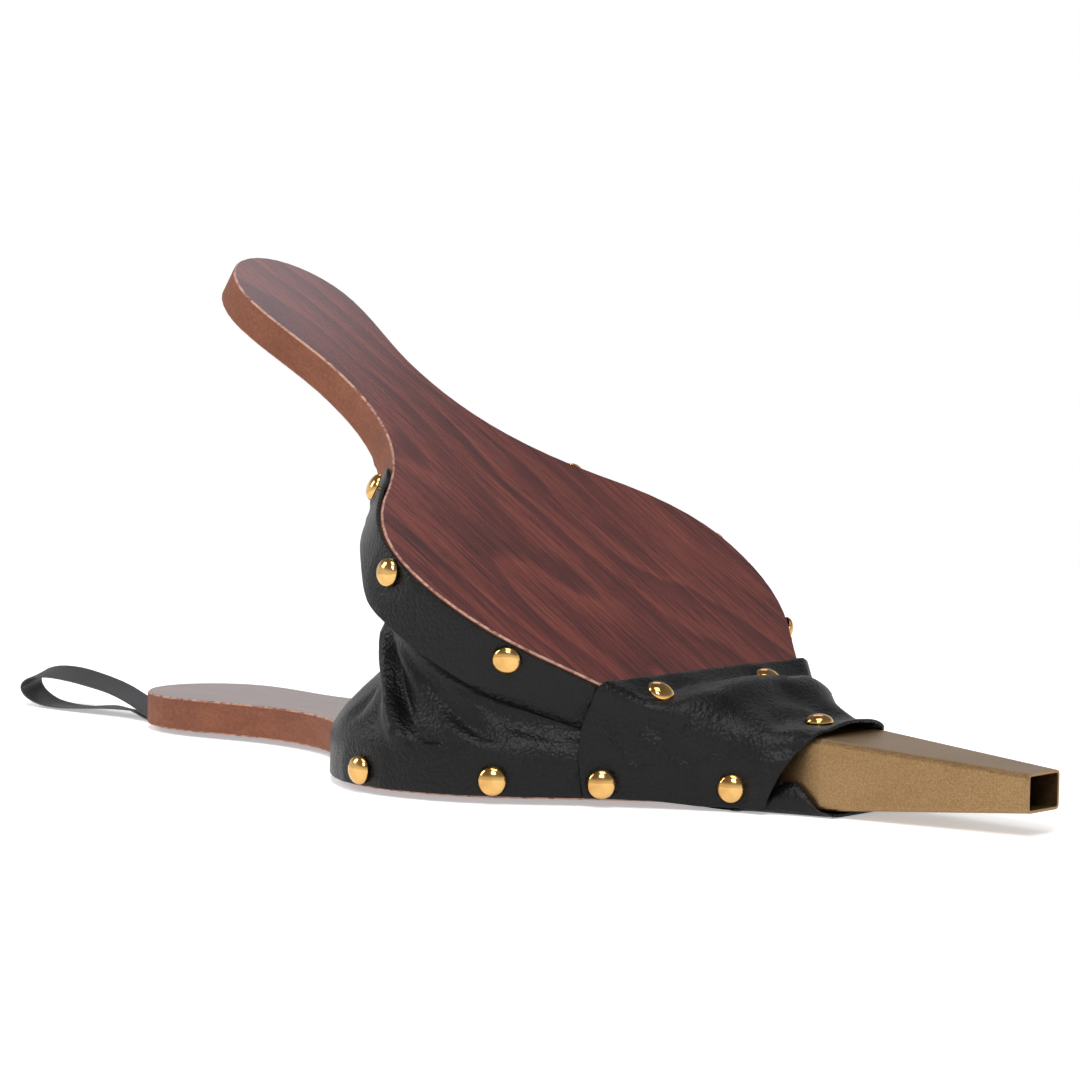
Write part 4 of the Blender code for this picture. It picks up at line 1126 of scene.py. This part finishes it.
def make_spring(material):
    """Hairpin of steel strip with a leg on each board and a round bend between them."""
    rise = GAP + 0.5
    low_z = LOWER_TOP + rise
    high = tilt(0.0, 0.0, -THICKNESS - rise)
    meet_x = high[0] + (high[2] - low_z) / math.tan(OPEN_ANGLE)
    half, radius, reach = OPEN_ANGLE / 2, 5.0, 70.0
    run = radius / math.sin(half)
    centre = np.array([meet_x - run * math.cos(half), low_z + run * math.sin(half)])
    path = [(-reach, low_z, 0.0), (-reach * 0.65, low_z, 0.0)]
    bends = 24
    for i in range(bends + 1):
        angle = -math.pi / 2 + (math.pi - OPEN_ANGLE) * i / bends
        x, z = centre + radius * np.array([math.cos(angle), math.sin(angle)])
        path.append((x, z, i / bends))
    for share in (0.65, 1.0):
        end = tilt(-reach * share, 0.0, -THICKNESS - rise)
        path.append((end[0], end[2], 1.0))
    path = np.array(path)
    across = np.linspace(-8.0, 8.0, 5)
    grid = np.array([[(x, y, z) for y in across] for x, z, _ in path])
    obj = grid_object("spring_strip", grid, material)
    thicken(obj, SPRING_STEEL, CENTRED, edge_round=0.2, limit=60.0)
    finish_mesh(obj)
    points = coordinates(obj)
    gaps = np.hypot(points[:, :1] - path[:, 0], points[:, 2:] - path[:, 1])
    on_bend = path[np.argmin(gaps, axis=1), 2]
    on_upper_leg = (opening_share(points) > 0.5).astype(float)
    on_leg = points[:, 0] < centre[0] - 1.0
    hinge_blend(obj, np.where(on_leg, on_upper_leg, on_bend))
    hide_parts("return_spring")


# ---- carried-over CAD parts

def dress_cad_nodes():
    """Gives every CAD node that stays its material, and softens the nozzle's corners."""
    lower_wood = laminate("laminate_lower", 0.0)
    upper_wood = laminate("laminate_upper", OPEN_ANGLE)
    zinc, paint = steel("zinc_plated_steel"), bronze_paint()
    looks = {"lower_board": lower_wood, "nose_block": lower_wood, "upper_board": upper_wood,
             "nozzle": paint}
    for name, node in NODES.items():
        if not node.hide_render:
            node.data.materials.clear()
            node.data.materials.append(looks.get(name, zinc))
    round_edges(NODES["nozzle"], 0.3, 60.0)


# ---- setting

def make_floor():
    """Plain pale floor just under the bellows."""
    size, z = 850.0, -0.2
    corners = [(x * size, y * size, z) for x, y in ((-1, -1), (1, -1), (1, 1), (-1, 1))]
    n = Nodes("pale_floor")
    tint = n.ramp(n.field(0.002, 2.0), ((0.3, (0.90, 0.90, 0.90)), (0.7, (0.94, 0.94, 0.94))))
    n.set(Base_Color=tint, Roughness=0.9, Specular_IOR_Level=0.0,
          Emission_Color=(1.0, 1.0, 1.0, 1.0), Emission_Strength=0.40)
    floor = mesh_object("floor", corners, [(0, 1, 2, 3)], n.material)


def make_world():
    """White studio that dims overhead, so that polished metal shows its form."""
    world = bpy.data.worlds.new("studio")
    world.use_nodes = True
    bpy.context.scene.world = world
    tree = world.node_tree
    background = tree.nodes["Background"]
    place, apart, ramp = (tree.nodes.new("ShaderNode" + kind)
                          for kind in ("TexCoord", "SeparateXYZ", "ValToRGB"))
    tree.links.new(place.outputs["Generated"], apart.inputs[0])
    tree.links.new(apart.outputs["Z"], ramp.inputs["Fac"])
    tree.links.new(ramp.outputs["Color"], background.inputs["Color"])
    greys = ((0.0, 1.0), (0.16, 1.0), (0.42, 0.26), (1.0, 0.16))
    set_stops(ramp, [(height, (grey, grey, grey)) for height, grey in greys])
    background.inputs["Strength"].default_value = 1.0


LIGHTS = (
    # name, place and size in metres, power in watts, colour
    ("key", (0.9, -1.3, 1.5), (0.7, 0.7), 25.0, (1.0, 1.0, 1.0)),
    ("left", (-1.5, -1.0, 1.1), (0.6, 0.9), 14.0, (1.0, 1.0, 1.0)),
    ("far", (-1.0, 1.25, 1.35), (0.7, 0.6), 2.0, (0.95, 0.92, 1.0)),
    ("top", (0.3, -0.3, 2.0), (1.0, 1.0), 14.0, (1.0, 1.0, 1.0)),
)
LIGHT_TARGET = Vector((-0.08, 0.0, 0.05))


def make_lights():
    """Soft boxes, all aimed at the middle of the bellows."""
    for name, place, size, power, colour in LIGHTS:
        light = bpy.data.lights.new(name, "AREA")
        light.shape = "RECTANGLE"
        light.size, light.size_y = size
        light.energy = power
        light.color = colour
        obj = add_object(name, light)
        obj.location = place
        obj.rotation_mode = "QUATERNION"
        obj.rotation_quaternion = (LIGHT_TARGET - Vector(place)).to_track_quat("-Z", "Y")


CAMERA_PLACE = (0.8385, -1.1046, 0.1970)  # metres
CAMERA_AZIMUTH, CAMERA_ELEVATION, CAMERA_ROLL = 40.222, 4.608, 0.976  # degrees
CAMERA_LENS, CAMERA_SENSOR = 139.3, 36.0


def make_camera():
    """Camera from low on the nozzle's right, with a slight roll."""
    a, e, r = (math.radians(v) for v in (CAMERA_AZIMUTH, CAMERA_ELEVATION, CAMERA_ROLL))
    back = Vector((math.sin(a) * math.cos(e), -math.cos(a) * math.cos(e), math.sin(e)))
    right = Vector((math.cos(a), math.sin(a), 0.0))
    up = back.cross(right)
    local_x = right * math.cos(r) + up * math.sin(r)
    local_y = up * math.cos(r) - right * math.sin(r)
    data = bpy.data.cameras.new("camera")
    data.lens = CAMERA_LENS
    data.sensor_width = CAMERA_SENSOR
    data.clip_start, data.clip_end = 0.05, 50.0
    camera = add_object("camera", data)
    turn = Matrix((local_x, local_y, back)).transposed().to_4x4()
    camera.matrix_world = Matrix.Translation(Vector(CAMERA_PLACE)) @ turn
    bpy.context.scene.camera = camera


def main():
    make_camera()
    make_world()
    make_lights()
    make_floor()
    black = leather("black_grain_leather")
    strap_look, suede_look = strap_material(), suede()
    make_gusset(black)
    make_nose_wrap(black)
    make_under_wrap(leather("black_leather_under", grain=1.3))
    make_nails(brass())
    make_strap(strap_look)
    make_flat_leathers(suede_look, strap_look)
    make_spring(steel("spring_steel", (0.30, 0.30, 0.31), 0.34))
    dress_cad_nodes()
    bpy.context.scene.view_settings.view_transform = "Standard"


main()
